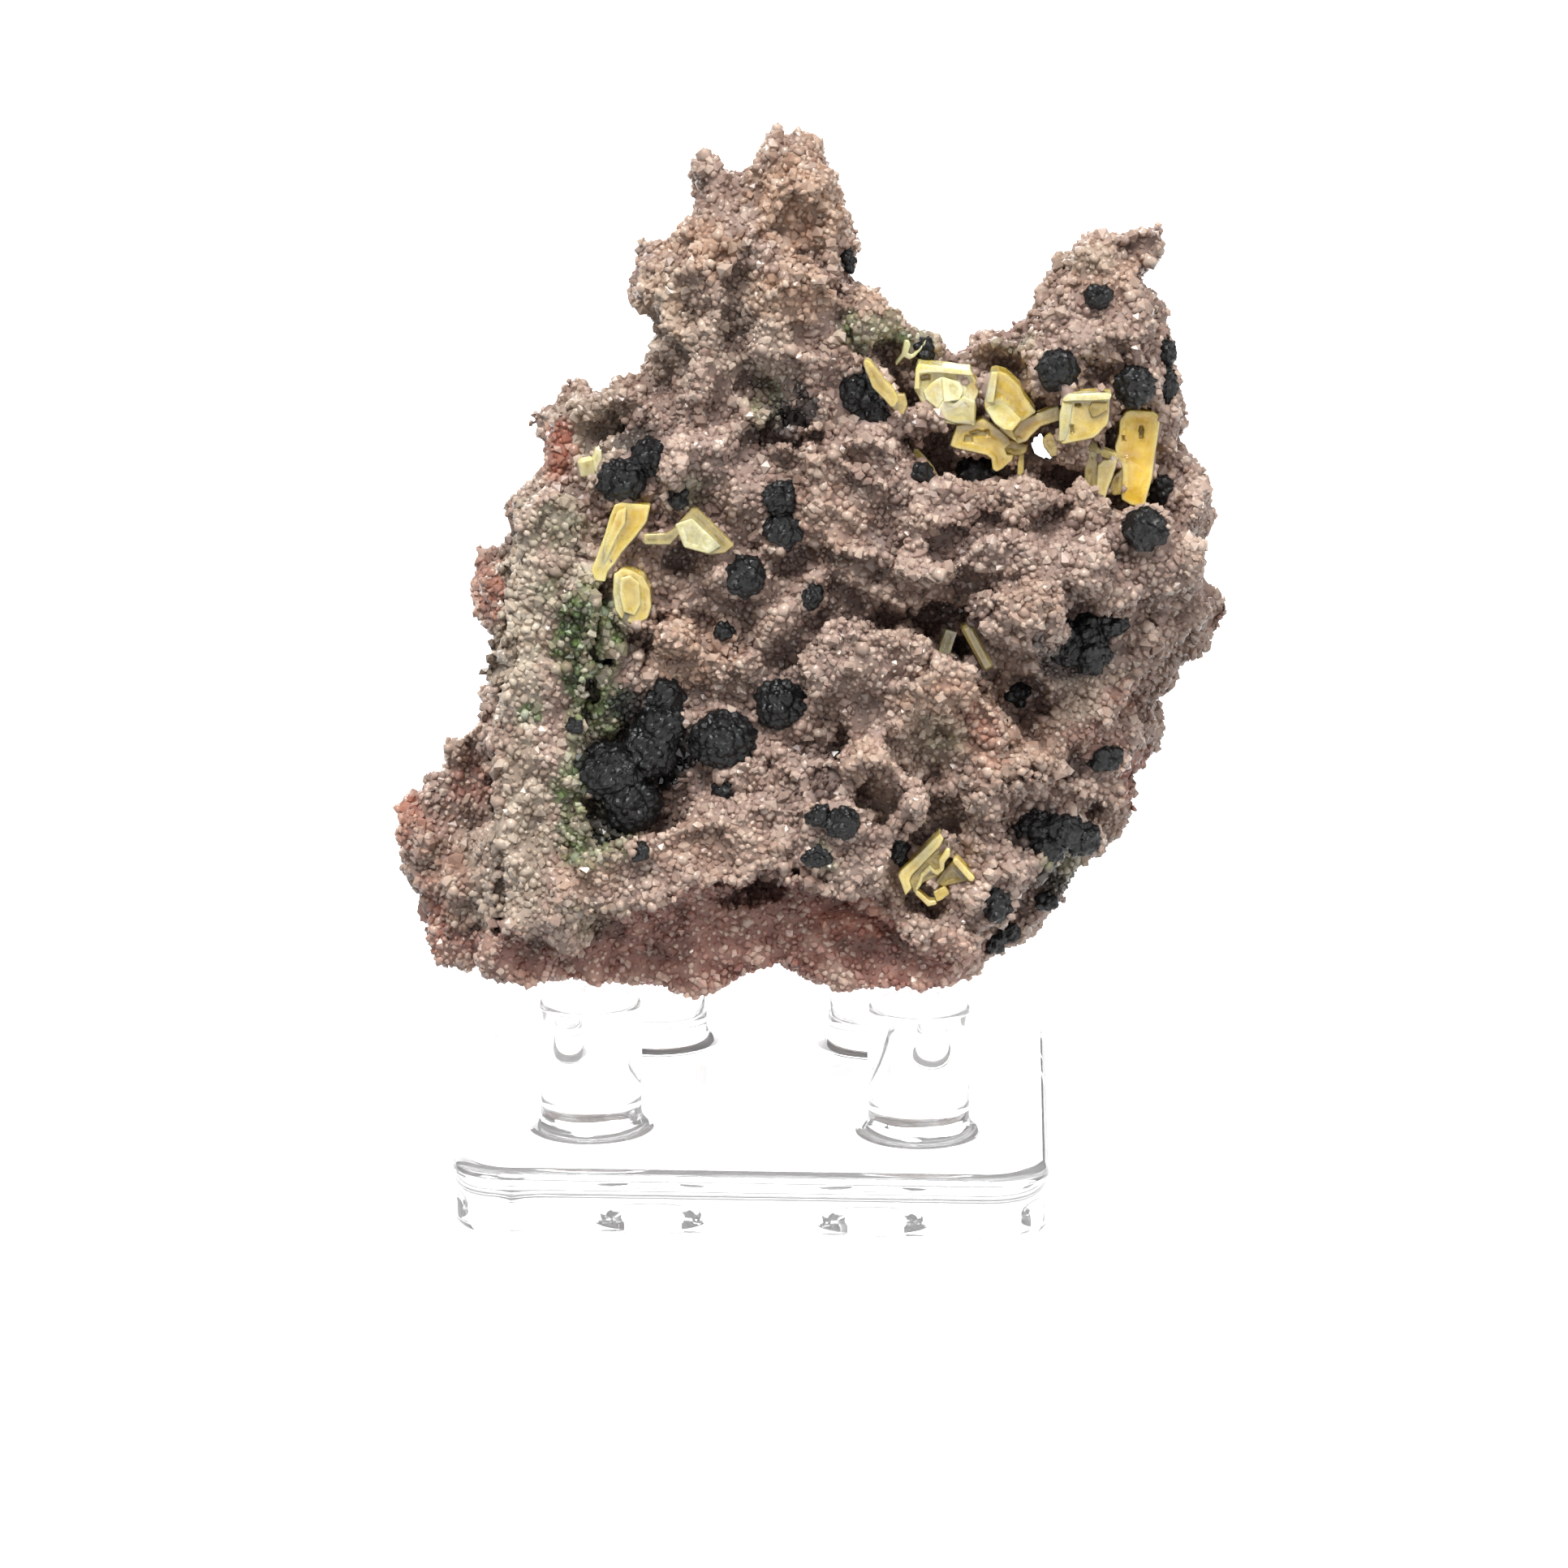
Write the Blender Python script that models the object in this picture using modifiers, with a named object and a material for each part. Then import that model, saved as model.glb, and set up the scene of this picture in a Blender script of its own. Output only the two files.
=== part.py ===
"""A wulfenite specimen on its clear acrylic stand: yellow tabular crystals and black
mineral balls on a lump of drusy matrix, which rests on the stand's four pegs.

The model is in metres with +Z up. Its origin is the middle of the stand's underside, -Y is
the side that shows the crystals. Shapes are worked out in millimetres, and an object is
brought to metres when it is finished.

The rock is laid out as it looks from EYE: x and z are read on the upright plane y = 0, and
at() slides a point along its line of sight to its own depth.
"""

import math

import bmesh
import bpy
from mathutils import Matrix, Vector, noise
from mathutils.bvhtree import BVHTree

METRES = 0.001
EYE = Vector((17.8, -357.2, 127.2))
GAP = 0.3

# The stand
PLATE_WIDTH = 46.0
PLATE_DEPTH = 42.0
PLATE_THICKNESS = 5.7
PLATE_CORNER = 5.0
PLATE_EDGE = 0.9
PEG_RADIUS = 4.0
PEG_HEIGHT = 9.8
PEG_FOOT_RADIUS = 5.3
PEG_FOOT_HEIGHT = 0.9
PEG_SIDES = 20
PEGS = {
    "peg_front_left": (-12.8, -9.3),
    "peg_front_right": (12.8, -9.3),
    "peg_back_left": (-9.0, 12.3),
    "peg_back_right": (9.0, 12.3),
}
PEG_TOP = PLATE_THICKNESS + GAP + PEG_HEIGHT

# The rock
REST = PEG_TOP + GAP
SAG = 0.9  # how far it hangs down between the pegs
PEG_CLEARANCE = (4.6, 7.0)  # it is at REST up to the first distance from a peg, and sags from the second
STOCK_VOXEL = 0.7
SKIN_VOXEL = 0.55
SKIN_GROWTH = 0.05  # gives back what the cells round off
UNCUT_TRIANGLES = 3400
ROCK_TRIANGLES = 4200  # with its pockets
LEAN = (2.4, 48.0)  # its foot comes this far forward, and it stands straight from this height
ROUGHNESS = ((9.0, 1.1), (3.6, 0.75))  # noise of this grain, mm, and this height, mm
BACK_CHIPS = (8.0, 3.4)  # the back is broken in chips this wide, mm, with hollows this deep
BACK_STARTS = (2.0, 7.0)  # from none to all of it between these depths

# The whole silhouette, (x, z), from the lower left corner round by the top
SILHOUETTE = [
    (-26.0, 16.0), (-26.4, 19.4), (-27.4, 22.3), (-28.0, 26.0), (-28.5, 28.5), (-27.0, 30.2),
    (-25.6, 32.0), (-24.3, 33.6), (-22.2, 34.9), (-21.2, 38.0), (-20.5, 41.0), (-21.2, 44.0),
    (-22.2, 46.4), (-21.8, 48.0), (-20.6, 49.3), (-19.5, 49.3), (-19.3, 51.0), (-19.7, 53.2),
    (-17.4, 55.0), (-16.4, 55.6), (-16.2, 58.5), (-16.9, 60.2), (-15.4, 60.9), (-14.8, 62.2),
    (-13.6, 62.5), (-12.3, 62.1), (-11.8, 61.5), (-10.9, 63.0), (-9.0, 63.7), (-9.0, 65.8),
    (-8.1, 67.2), (-9.6, 68.4), (-9.8, 70.0), (-9.2, 73.4), (-8.7, 73.9), (-7.6, 73.3),
    (-6.5, 73.4), (-6.2, 74.3), (-4.8, 75.2), (-5.3, 78.1), (-4.7, 80.1), (-4.0, 80.4),
    (-3.2, 80.1), (-2.7, 78.9), (-0.9, 78.8), (0.1, 79.4), (0.8, 81.9), (2.0, 82.4),
    (3.3, 82.6), (4.3, 81.8), (5.2, 81.9), (5.4, 80.0), (6.3, 78.0), (6.4, 76.2),
    (7.2, 75.6), (7.3, 73.6), (6.4, 70.8), (8.0, 70.4), (9.2, 69.6), (10.3, 68.2),
    (11.4, 67.4), (12.6, 66.9), (13.2, 67.4), (14.2, 65.3), (15.6, 65.6), (16.7, 66.0),
    (17.2, 67.0), (18.4, 67.2), (19.8, 66.7), (20.8, 69.0), (21.9, 71.6), (22.2, 73.0),
    (23.5, 72.8), (24.4, 73.9), (25.6, 74.4), (28.4, 74.2), (29.9, 75.5), (30.6, 75.0),
    (30.8, 73.4), (29.2, 71.2), (29.8, 70.0), (31.2, 69.5), (31.1, 66.0), (31.6, 63.0),
    (32.4, 60.5), (32.4, 57.4), (33.5, 57.1), (34.8, 53.8), (35.2, 51.7), (34.3, 48.6),
    (35.0, 47.0), (36.2, 45.3), (35.1, 42.4), (33.1, 40.2), (32.2, 39.0), (32.0, 36.0),
    (30.7, 33.2), (29.5, 31.6), (30.1, 29.7), (28.3, 27.6), (27.0, 25.5), (25.2, 25.0),
    (23.6, 21.6), (21.6, 19.0), (18.4, 16.9), (15.6, 14.6), (10.2, 14.2), (4.8, 15.1),
    (0.6, 15.8), (-2.3, 14.4), (-6.8, 13.4), (-10.0, 14.0), (-15.5, 14.2), (-22.0, 14.6),
]
BODY_DEPTHS = (0.0, 7.5)

# Thicker masses within it: their outline (x, z), and the depths y that they reach
MASSES = {
    "main": (
        (-5.5, 14.0),
        [
            (-19.5, 16.5), (-19.0, 36.0), (-17.5, 50.0), (-11.0, 57.0), (-6.0, 64.0), (4.0, 67.0),
            (9.0, 64.0), (12.0, 56.0), (30.0, 53.0), (32.0, 46.0), (28.0, 34.0), (24.0, 25.0),
            (14.0, 16.5), (0.5, 17.0),
        ],
    ),
    "underside": (
        (-6.6, 17.0),
        [
            (-22.0, 14.4), (-22.5, 27.0), (20.0, 24.0), (16.4, 15.4), (14.6, 13.8), (10.0, 13.7),
            (5.0, 14.6), (0.6, 15.4), (-2.3, 14.0), (-6.8, 12.9), (-10.0, 13.5), (-15.5, 13.8),
        ],
    ),
    "left_wall": (
        (-8.6, 0.0),
        [
            (-20.4, 17.5), (-20.8, 34.0), (-19.6, 42.0), (-19.3, 52.0), (-16.5, 54.5), (-13.0, 53.5),
            (-12.5, 45.0), (-13.5, 35.0), (-14.0, 24.0), (-15.0, 19.0),
        ],
    ),
    "lower_terrace": (
        (-9.8, 0.0),
        [
            (-17.0, 19.5), (-15.5, 25.0), (-6.0, 27.5), (0.0, 29.5), (7.0, 30.0), (10.0, 27.0),
            (10.0, 22.0), (5.0, 22.5), (0.0, 23.0), (-6.0, 21.5), (-11.0, 20.0),
        ],
    ),
    "middle_wedge": (
        (-9.0, 0.0),
        [
            (3.0, 41.0), (5.0, 43.2), (9.5, 43.6), (13.5, 42.6), (16.0, 41.2), (19.5, 36.0),
            (17.5, 33.0), (10.0, 34.0), (4.0, 37.0),
        ],
    ),
    "upper_sheet": (
        (-7.5, 0.0),
        [
            (3.4, 58.0), (8.0, 58.8), (12.5, 57.0), (12.0, 52.0), (7.0, 47.0), (4.5, 48.0),
            (3.6, 53.0),
        ],
    ),
    "right_shelf": (
        (-8.0, 2.0),
        [
            (6.5, 49.0), (9.0, 50.4), (12.5, 53.5), (20.0, 55.5), (28.0, 52.5), (33.5, 50.5),
            (34.0, 47.0), (30.0, 45.5), (24.5, 46.0), (18.0, 47.0), (12.0, 45.0), (8.0, 45.5),
        ],
    ),
    "right_horn": (
        (-3.0, 7.0),
        [
            (21.0, 66.0), (22.5, 71.0), (26.0, 73.5), (28.6, 71.0), (30.2, 68.0), (30.8, 61.0),
            (26.0, 60.0), (21.0, 63.0),
        ],
    ),
    "top_spire": (
        (-3.5, 8.5),
        [
            (-8.5, 69.5), (-7.5, 71.8), (-3.0, 74.0), (0.8, 77.0), (1.6, 81.0), (4.6, 80.6),
            (5.4, 76.0), (5.8, 71.0), (8.8, 68.4), (6.0, 63.0), (-6.0, 62.0),
        ],
    ),
}

# Lumps that stand out of the masses: (x, z, depth of the middle, half width, half height,
# half depth)
LUMPS = [
    # The upper left spire
    (3.2, 77.6, -1.0, 3.0, 4.6, 3.6), (6.2, 73.8, 1.0, 1.3, 2.0, 2.2), (-4.0, 78.6, 1.5, 1.0, 1.9, 1.2),
    (-2.4, 77.4, 1.5, 1.6, 1.3, 1.4), (-3.4, 74.6, 0.5, 3.0, 2.2, 2.6), (-7.4, 70.6, 0.0, 2.3, 2.7, 2.8),
    (-0.6, 73.0, -3.0, 1.3, 2.2, 2.0), (-3.6, 68.6, -3.2, 1.2, 4.5, 2.4), (2.4, 69.0, -4.4, 3.6, 3.1, 3.6),
    (5.4, 70.3, -3.2, 1.7, 1.8, 2.4), (8.0, 67.8, -2.2, 2.4, 2.3, 3.0), (-6.2, 66.3, -1.6, 2.6, 3.0, 3.2),
    (0.8, 65.6, -4.6, 2.4, 2.0, 2.6), (3.6, 64.6, -4.8, 1.9, 2.2, 2.6), (3.8, 61.2, -5.2, 2.2, 1.7, 2.4),
    (-5.0, 62.6, -4.2, 1.3, 3.2, 2.4),
    # The left shoulder
    (-13.6, 60.7, 0.5, 1.8, 1.7, 2.2), (-10.4, 61.3, -0.6, 2.2, 1.9, 2.6), (-8.0, 60.0, -2.6, 1.7, 2.2, 2.4),
    (-15.9, 58.2, 1.6, 0.8, 2.2, 1.6), (-11.6, 57.8, -3.0, 1.7, 1.2, 2.0), (-6.4, 56.6, -5.6, 1.3, 2.8, 2.4),
    (-15.6, 52.6, -5.4, 2.8, 1.9, 2.6), (-17.6, 48.6, -5.0, 1.8, 3.2, 2.6), (-15.6, 47.2, -6.6, 1.8, 2.6, 2.0),
    (-21.0, 46.0, 3.0, 1.3, 2.8, 2.2),
    # The middle column
    (-3.4, 57.6, -5.0, 1.9, 2.2, 2.2), (-1.2, 54.6, -5.0, 1.7, 2.0, 2.0), (-3.4, 50.6, -4.6, 1.5, 1.6, 1.8),
    (-3.0, 47.0, -6.2, 1.2, 1.8, 1.8), (-5.8, 46.4, -4.4, 1.9, 1.7, 2.0), (1.6, 44.2, -5.4, 2.3, 1.5, 2.2),
    (-6.6, 42.4, -6.4, 2.6, 2.1, 2.6), (-2.4, 40.4, -6.0, 2.8, 1.9, 2.4), (4.4, 48.2, -5.6, 1.2, 1.2, 1.6),
    (-8.8, 40.0, -5.6, 1.5, 2.3, 2.2), (1.5, 33.6, -5.8, 2.2, 1.4, 2.0),
    # The left wall and the block behind its foot
    (-17.2, 38.0, -6.6, 1.9, 3.4, 1.8), (-15.6, 34.4, -6.8, 1.7, 1.8, 2.0), (-18.8, 29.0, -5.6, 1.5, 4.4, 2.0),
    (-16.2, 25.8, -7.0, 2.6, 3.0, 2.2), (-14.2, 22.6, -7.4, 2.1, 2.2, 2.2), (-15.6, 18.6, -6.6, 2.2, 1.6, 2.0),
    (-24.6, 28.0, 3.0, 2.9, 3.6, 3.2), (-23.6, 22.0, 1.5, 3.2, 4.0, 3.4), (-24.2, 17.6, 1.5, 1.9, 1.7, 3.2),
    (-25.6, 31.0, 4.0, 1.6, 1.6, 2.0),
    # The wedge, the terrace and the lumps between them
    (7.6, 40.4, -8.6, 3.4, 2.4, 2.0), (13.6, 38.4, -9.0, 3.8, 2.8, 2.2), (11.6, 42.0, -8.6, 2.2, 1.3, 1.8),
    (17.6, 35.0, -8.0, 2.0, 1.9, 2.0), (8.4, 32.6, -9.0, 2.9, 2.7, 2.8), (11.8, 29.0, -9.2, 1.2, 2.6, 2.0),
    (4.0, 32.6, -7.4, 1.8, 1.5, 1.8), (-3.2, 28.6, -7.2, 3.2, 1.5, 2.0), (-6.0, 24.4, -8.4, 3.6, 1.9, 1.8),
    (0.8, 26.0, -8.2, 3.4, 1.9, 2.0), (7.4, 24.0, -8.0, 2.5, 2.2, 2.0), (-11.0, 22.4, -8.0, 2.6, 1.9, 1.8),
    (14.0, 18.8, -6.0, 3.6, 2.6, 2.6), (16.6, 21.4, -6.6, 1.7, 1.9, 2.2), (19.4, 24.4, -5.6, 2.1, 2.4, 2.4),
    (15.4, 30.6, -7.4, 2.6, 1.2, 2.2), (21.0, 32.2, -6.8, 3.2, 1.8, 2.4), (17.4, 27.8, -6.8, 2.1, 2.6, 2.2),
    (26.0, 36.6, -3.6, 3.2, 2.2, 3.2), (29.4, 35.6, -1.0, 2.3, 2.2, 2.8), (27.6, 30.6, -2.6, 1.9, 1.9, 2.4),
    (23.2, 35.6, -5.4, 1.2, 2.2, 1.8),
    # The right shelf
    (20.4, 44.6, -9.2, 3.5, 3.3, 3.4), (18.6, 49.8, -9.0, 3.2, 2.2, 2.4), (12.4, 51.8, -8.4, 2.6, 1.7, 2.2),
    (8.4, 48.6, -8.4, 2.0, 1.5, 2.0), (13.0, 48.0, -8.8, 3.3, 1.7, 2.2), (24.6, 49.4, -8.2, 2.9, 2.4, 2.6),
    (20.6, 54.0, -7.0, 2.2, 1.9, 2.4), (14.2, 55.0, -6.4, 1.9, 1.3, 2.0), (25.4, 54.2, -6.2, 2.3, 1.2, 2.2),
    (32.0, 48.2, -5.0, 2.3, 2.3, 2.6), (32.8, 53.2, -2.4, 1.9, 2.9, 2.8), (33.6, 45.0, -2.0, 2.6, 1.5, 2.4),
    (30.4, 42.6, -3.8, 2.6, 1.9, 2.4), (27.6, 46.4, -7.0, 2.1, 1.2, 2.0),
    # The notch and the right horn
    (12.6, 59.6, -3.0, 1.9, 1.9, 2.6), (13.4, 66.0, 1.0, 0.9, 1.3, 1.6), (17.8, 66.0, 0.5, 1.6, 1.2, 2.2),
    (20.6, 65.6, -0.5, 1.7, 1.3, 2.4), (24.8, 58.0, -3.0, 1.9, 1.9, 2.4), (25.0, 66.4, -3.0, 1.5, 1.4, 1.6),
    (28.6, 66.8, -2.2, 2.3, 2.1, 2.4), (25.6, 72.0, -0.5, 2.4, 1.9, 2.4), (22.6, 71.6, 0.5, 0.8, 1.3, 1.4),
    (29.8, 73.8, 0.8, 0.9, 1.4, 1.0), (31.0, 59.4, 0.0, 1.3, 2.4, 2.4),
    # The back, which is a rough broken face
    (-12.0, 44.0, 11.0, 8.0, 10.0, 4.6), (6.0, 46.0, 12.5, 10.0, 12.0, 4.4), (22.0, 44.0, 10.0, 8.0, 9.0, 4.6),
    (-6.0, 27.0, 14.0, 12.0, 8.0, 4.4), (12.0, 28.0, 13.5, 9.0, 8.0, 4.4), (0.0, 63.0, 8.5, 6.0, 7.0, 3.6),
    (26.0, 62.0, 6.0, 4.6, 6.0, 3.0), (-22.0, 25.0, 9.0, 5.0, 6.0, 4.0),
]

# Hollows in the front: (x, z, radius, how far the surface goes back)
HOLLOWS = [
    (-0.4, 62.4, 1.5, 3.6), (2.6, 59.4, 1.3, 3.0), (7.6, 61.8, 2.6, 4.0), (-10.6, 33.6, 3.2, 2.0),
    (0.4, 22.4, 1.8, 3.2), (2.6, 22.0, 1.4, 2.4), (20.6, 38.4, 1.8, 4.0), (15.6, 42.8, 1.5, 3.4),
    (12.6, 56.0, 1.5, 3.0), (18.4, 57.0, 1.7, 2.6), (10.6, 33.8, 1.3, 2.2), (4.6, 45.6, 1.6, 2.6),
    (-6.2, 48.6, 1.9, 2.4), (25.2, 42.4, 2.4, 2.8), (13.4, 21.2, 1.6, 2.4), (23.0, 27.0, 2.6, 1.2),
    (2.4, 52.6, 2.2, 1.6), (-1.6, 36.0, 2.6, 1.0),
]

# The gap that lets light through, beside the square crystal
LIGHT_GAP = [(21.7, 59.6), (20.6, 58.0), (21.6, 57.2), (22.7, 56.9), (23.1, 58.2)]


# Pieces grown together differ in depth by this share of what the rock behind them does
OWN_DEPTH = 0.25

# Black balls, each node a ball or several grown together: (x, z, half width, half height)
LEAST_BEVEL = 0.15  # a tablet with less is left square
BALL_STANDS_OUT = 0.15  # of its radius
ROUND_FROM = 1.4  # a single ball smaller than this has 20 faces, and others 80
ICOSAHEDRON_INSIDE = 0.795  # the radius inside its faces, as a share of that at its corners
BALLS = {
    "black_ball_shoulder": [(-8.5, 56.9, 1.5, 1.5), (-10.7, 55.0, 1.8, 1.7)],
    "black_ball_shoulder_small": [(-6.3, 53.7, 0.85, 0.85)],
    "black_ball_column": [(1.6, 53.8, 1.4, 1.4), (1.8, 51.2, 1.4, 1.4)],
    "black_ball_column_low": [(-1.2, 47.6, 1.6, 1.6)],
    "black_ball_notch": [(7.6, 62.4, 2.2, 2.3), (9.0, 60.8, 1.4, 1.5)],
    "black_ball_spire": [(6.5, 72.4, 0.7, 1.0)],
    "black_ball_notch_top": [(12.6, 65.5, 0.9, 0.9)],
    "black_ball_horn_left": [(22.9, 63.9, 1.7, 1.6)],
    "black_ball_horn_right": [(28.9, 62.8, 1.6, 1.5)],
    "black_ball_horn_top": [(25.9, 69.7, 1.0, 0.9)],
    "black_ball_horn_edge": [(31.3, 62.7, 0.8, 1.6), (31.2, 65.3, 0.6, 1.3)],
    "black_ball_recess": [(16.8, 55.8, 1.6, 1.5)],
    "black_ball_recess_small": [(12.4, 55.6, 1.0, 1.2)],
    "black_ball_shelf_edge": [(31.0, 54.8, 1.1, 1.1)],
    "black_ball_shelf": [(29.8, 51.6, 1.7, 1.6)],
    "black_ball_centre_small": [(4.1, 46.0, 0.85, 0.9)],
    "black_ball_right_cluster": [
        (23.9, 42.6, 1.4, 1.7), (25.6, 43.6, 1.3, 1.3), (27.3, 44.1, 1.2, 1.0), (25.8, 41.6, 1.5, 1.4),
    ],
    "black_ball_right_crevice": [(20.2, 38.4, 1.1, 1.0)],
    "black_ball_right_low": [(27.0, 33.3, 1.3, 1.2)],
    "black_ball_corner_cluster": [
        (21.5, 27.6, 1.5, 1.5), (23.6, 27.6, 1.5, 1.3), (22.4, 25.8, 1.3, 1.3), (25.2, 26.7, 1.3, 1.2),
    ],
    "black_ball_corner_low": [(18.8, 21.3, 1.2, 1.5)],
    "black_ball_edge_upper": [(22.7, 21.5, 0.7, 0.7)],
    "black_ball_edge_lower": [(19.7, 18.8, 0.9, 0.8), (18.5, 18.0, 0.8, 0.7)],
    "black_ball_by_crystal": [(10.8, 25.4, 1.2, 1.25)],
    "black_ball_terrace": [(6.5, 27.7, 1.3, 1.2), (4.7, 28.2, 0.9, 0.8)],
    "black_ball_terrace_grey": [(4.6, 24.9, 1.0, 0.8)],
    "black_ball_centre_right": [(1.6, 37.3, 2.0, 1.9)],
    "black_ball_centre": [(-2.9, 34.4, 2.6, 2.2)],
    "black_ball_chain": [
        (-7.5, 37.8, 1.1, 1.4), (-7.7, 35.6, 1.4, 1.5), (-8.8, 33.4, 1.8, 1.6), (-11.9, 31.6, 2.4, 1.9),
        (-10.4, 29.0, 1.9, 2.0),
    ],
    "black_ball_chain_foot": [(-9.5, 25.3, 0.65, 0.65)],
    "black_ball_terrace_small": [(-2.7, 30.3, 0.95, 0.9)],
    "black_ball_middle_small": [(-2.8, 43.1, 0.7, 0.7)],
    "black_ball_wall_upper": [(-11.9, 40.7, 0.6, 0.6)],
    "black_ball_wall_lower": [(-14.6, 35.3, 0.6, 0.6)],
}

# Wulfenite crystals, each node a crystal or several grown together. Each is a tablet: (x, z),
# how far its middle stands out from the rock, width, height, thickness, bevel, and its turns in
# degrees: lean to the right, turn to the right and tip back.
CRYSTALS = {
    "wulfenite_left_blade": [(-11.1, 50.1, 1.4, 2.2, 6.4, 1.1, 0.35, 26, 24, 10)],
    "wulfenite_left_barrel": [(-9.8, 45.3, 0.9, 2.8, 4.2, 2.4, 0.6, -7, -12, -6)],
    "wulfenite_left_tablet": [
        (-4.4, 50.9, 1.0, 3.7, 2.3, 1.3, 0.4, 41, -10, 20), (-7.8, 50.5, 0.4, 3.4, 0.9, 1.2, 0.2, 4, 10, 0),
        (-6.6, 51.2, 0.5, 0.9, 2.2, 0.7, 0.15, 62, 0, 10),
    ],
    "wulfenite_left_pale_group": [
        (-13.4, 56.1, 0.3, 1.3, 1.6, 0.8, 0.25, -10, 20, 0), (-12.5, 56.7, 0.4, 1.0, 2.1, 0.7, 0.2, 18, -15, 0),
    ],
    "wulfenite_notch_blade": [(9.55, 62.5, 1.9, 0.85, 4.9, 2.2, 0.2, -35, -20, 0)],
    "wulfenite_notch_sprig": [
        (11.4, 65.8, 0.4, 0.35, 2.2, 0.8, 0.08, 22, 0, 0), (11.2, 66.2, 0.5, 1.1, 0.5, 0.8, 0.1, -20, 0, 0),
    ],
    "wulfenite_recess_needle": [(12.9, 56.7, 1.8, 0.4, 4.0, 0.5, 0.1, -35, 0, 0)],
    "wulfenite_row_group": [
        (14.3, 61.9, 2.0, 4.5, 4.6, 1.0, 0.3, 3, -14, 6), (18.8, 61.6, 2.6, 2.7, 5.4, 1.4, 0.45, -23, 22, 0),
        (17.2, 58.7, 1.8, 4.2, 2.9, 1.2, 0.35, 8, 10, -10), (21.2, 60.3, 2.2, 3.0, 0.75, 1.0, 0.15, -28, 0, 0),
        (19.6, 57.4, 1.4, 1.5, 2.2, 0.9, 0.2, 30, 0, 0),
    ],
    "wulfenite_row_square": [(25.0, 60.9, 2.0, 3.7, 3.5, 1.3, 0.35, -4, 16, 6)],
    "wulfenite_row_slender": [
        (26.1, 56.9, 1.2, 1.0, 4.4, 1.2, 0.16, 2, 0, 0), (27.0, 56.0, 1.3, 1.4, 3.2, 1.2, 0.2, 6, -14, 0),
    ],
    "wulfenite_row_prism": [(29.2, 57.8, 2.2, 2.7, 7.3, 1.7, 0.45, 5, 14, 2)],
    "wulfenite_crevice_blade": [(16.9, 42.2, 0.9, 0.9, 4.0, 1.2, 0.2, -28, 10, 0)],
    "wulfenite_crevice_chip": [(14.6, 42.5, 0.5, 0.9, 1.9, 0.6, 0.15, 18, 12, 0)],
    "wulfenite_terrace_group": [
        (13.4, 25.4, 1.4, 1.5, 4.8, 1.2, 0.2, 40, -24, 0), (14.3, 25.2, 0.9, 0.45, 2.6, 2.0, 0.08, 28, 0, 0),
        (15.6, 25.1, 0.8, 0.4, 3.2, 2.0, 0.08, -50, 0, 0), (13.2, 23.2, 0.8, 0.4, 2.8, 2.0, 0.08, -48, 0, 0),
    ],
}


def at(x, z, depth):
    """The point at this depth that is seen at (x, z) on the plane y = 0."""
    return EYE + (Vector((x, 0.0, z)) - EYE) * (1 + depth / -EYE.y)


def clear_scene():
    for obj in list(bpy.data.objects):
        bpy.data.objects.remove(obj)


def material(name, colour, roughness, transmission=0.0):
    made = bpy.data.materials.new(name)
    made.use_nodes = True
    shader = made.node_tree.nodes["Principled BSDF"]
    shader.inputs["Base Color"].default_value = (*colour, 1.0)
    shader.inputs["Roughness"].default_value = roughness
    shader.inputs["Metallic"].default_value = 0.0
    shader.inputs["Transmission Weight"].default_value = transmission
    made.diffuse_color = (*colour, 1.0)
    return made


def collection(name):
    made = bpy.data.collections.new(name)
    bpy.context.scene.collection.children.link(made)
    return made


def place(name, mesh, into, finish=None):
    """A new object with this mesh, which is in millimetres until finished() is called."""
    obj = bpy.data.objects.new(name, mesh)
    into.objects.link(obj)
    if finish:
        mesh.materials.clear()
        mesh.materials.append(finish)
    return obj


def evaluated_mesh(obj):
    graph = bpy.context.evaluated_depsgraph_get()
    graph.update()
    return bpy.data.meshes.new_from_object(obj.evaluated_get(graph))


def mesh_of(bm, name):
    mesh = bpy.data.meshes.new(name)
    bm.to_mesh(mesh)
    bm.free()
    return mesh


def finished(obj, centre=None):
    """Brings the mesh to metres, and puts the object's origin in its own middle."""
    mesh = obj.data
    if centre is None:
        centre = sum((v.co for v in mesh.vertices), Vector()) / len(mesh.vertices)
    mesh.transform(Matrix.Scale(METRES, 4) @ Matrix.Translation(-centre))
    obj.location = centre * METRES
    return obj


def upright_prism(outline, front, back, helpers):
    """A mesh of the outline (x, z), from depth front to depth back, by a filled 2D curve."""
    curve = bpy.data.curves.new("outline", "CURVE")
    curve.dimensions = "2D"
    curve.fill_mode = "BOTH"
    curve.extrude = (back - front) / 2
    spline = curve.splines.new("POLY")
    spline.points.add(len(outline) - 1)
    for point, (x, z) in zip(spline.points, outline):
        point.co = (x, z, 0.0, 1.0)
    spline.use_cyclic_u = True
    obj = bpy.data.objects.new("outline", curve)
    helpers.objects.link(obj)
    mesh = evaluated_mesh(obj)
    bpy.data.objects.remove(obj)
    bm = bmesh.new()
    bm.from_mesh(mesh)
    bmesh.ops.remove_doubles(bm, verts=bm.verts, dist=0.0001)
    stand_up = Matrix.Translation((0, (front + back) / 2, 0)) @ Matrix.Rotation(math.pi / 2, 4, "X")
    bmesh.ops.transform(bm, matrix=stand_up, verts=bm.verts)
    bmesh.ops.recalc_face_normals(bm, faces=bm.faces)
    return mesh_of(bm, "prism")


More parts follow.
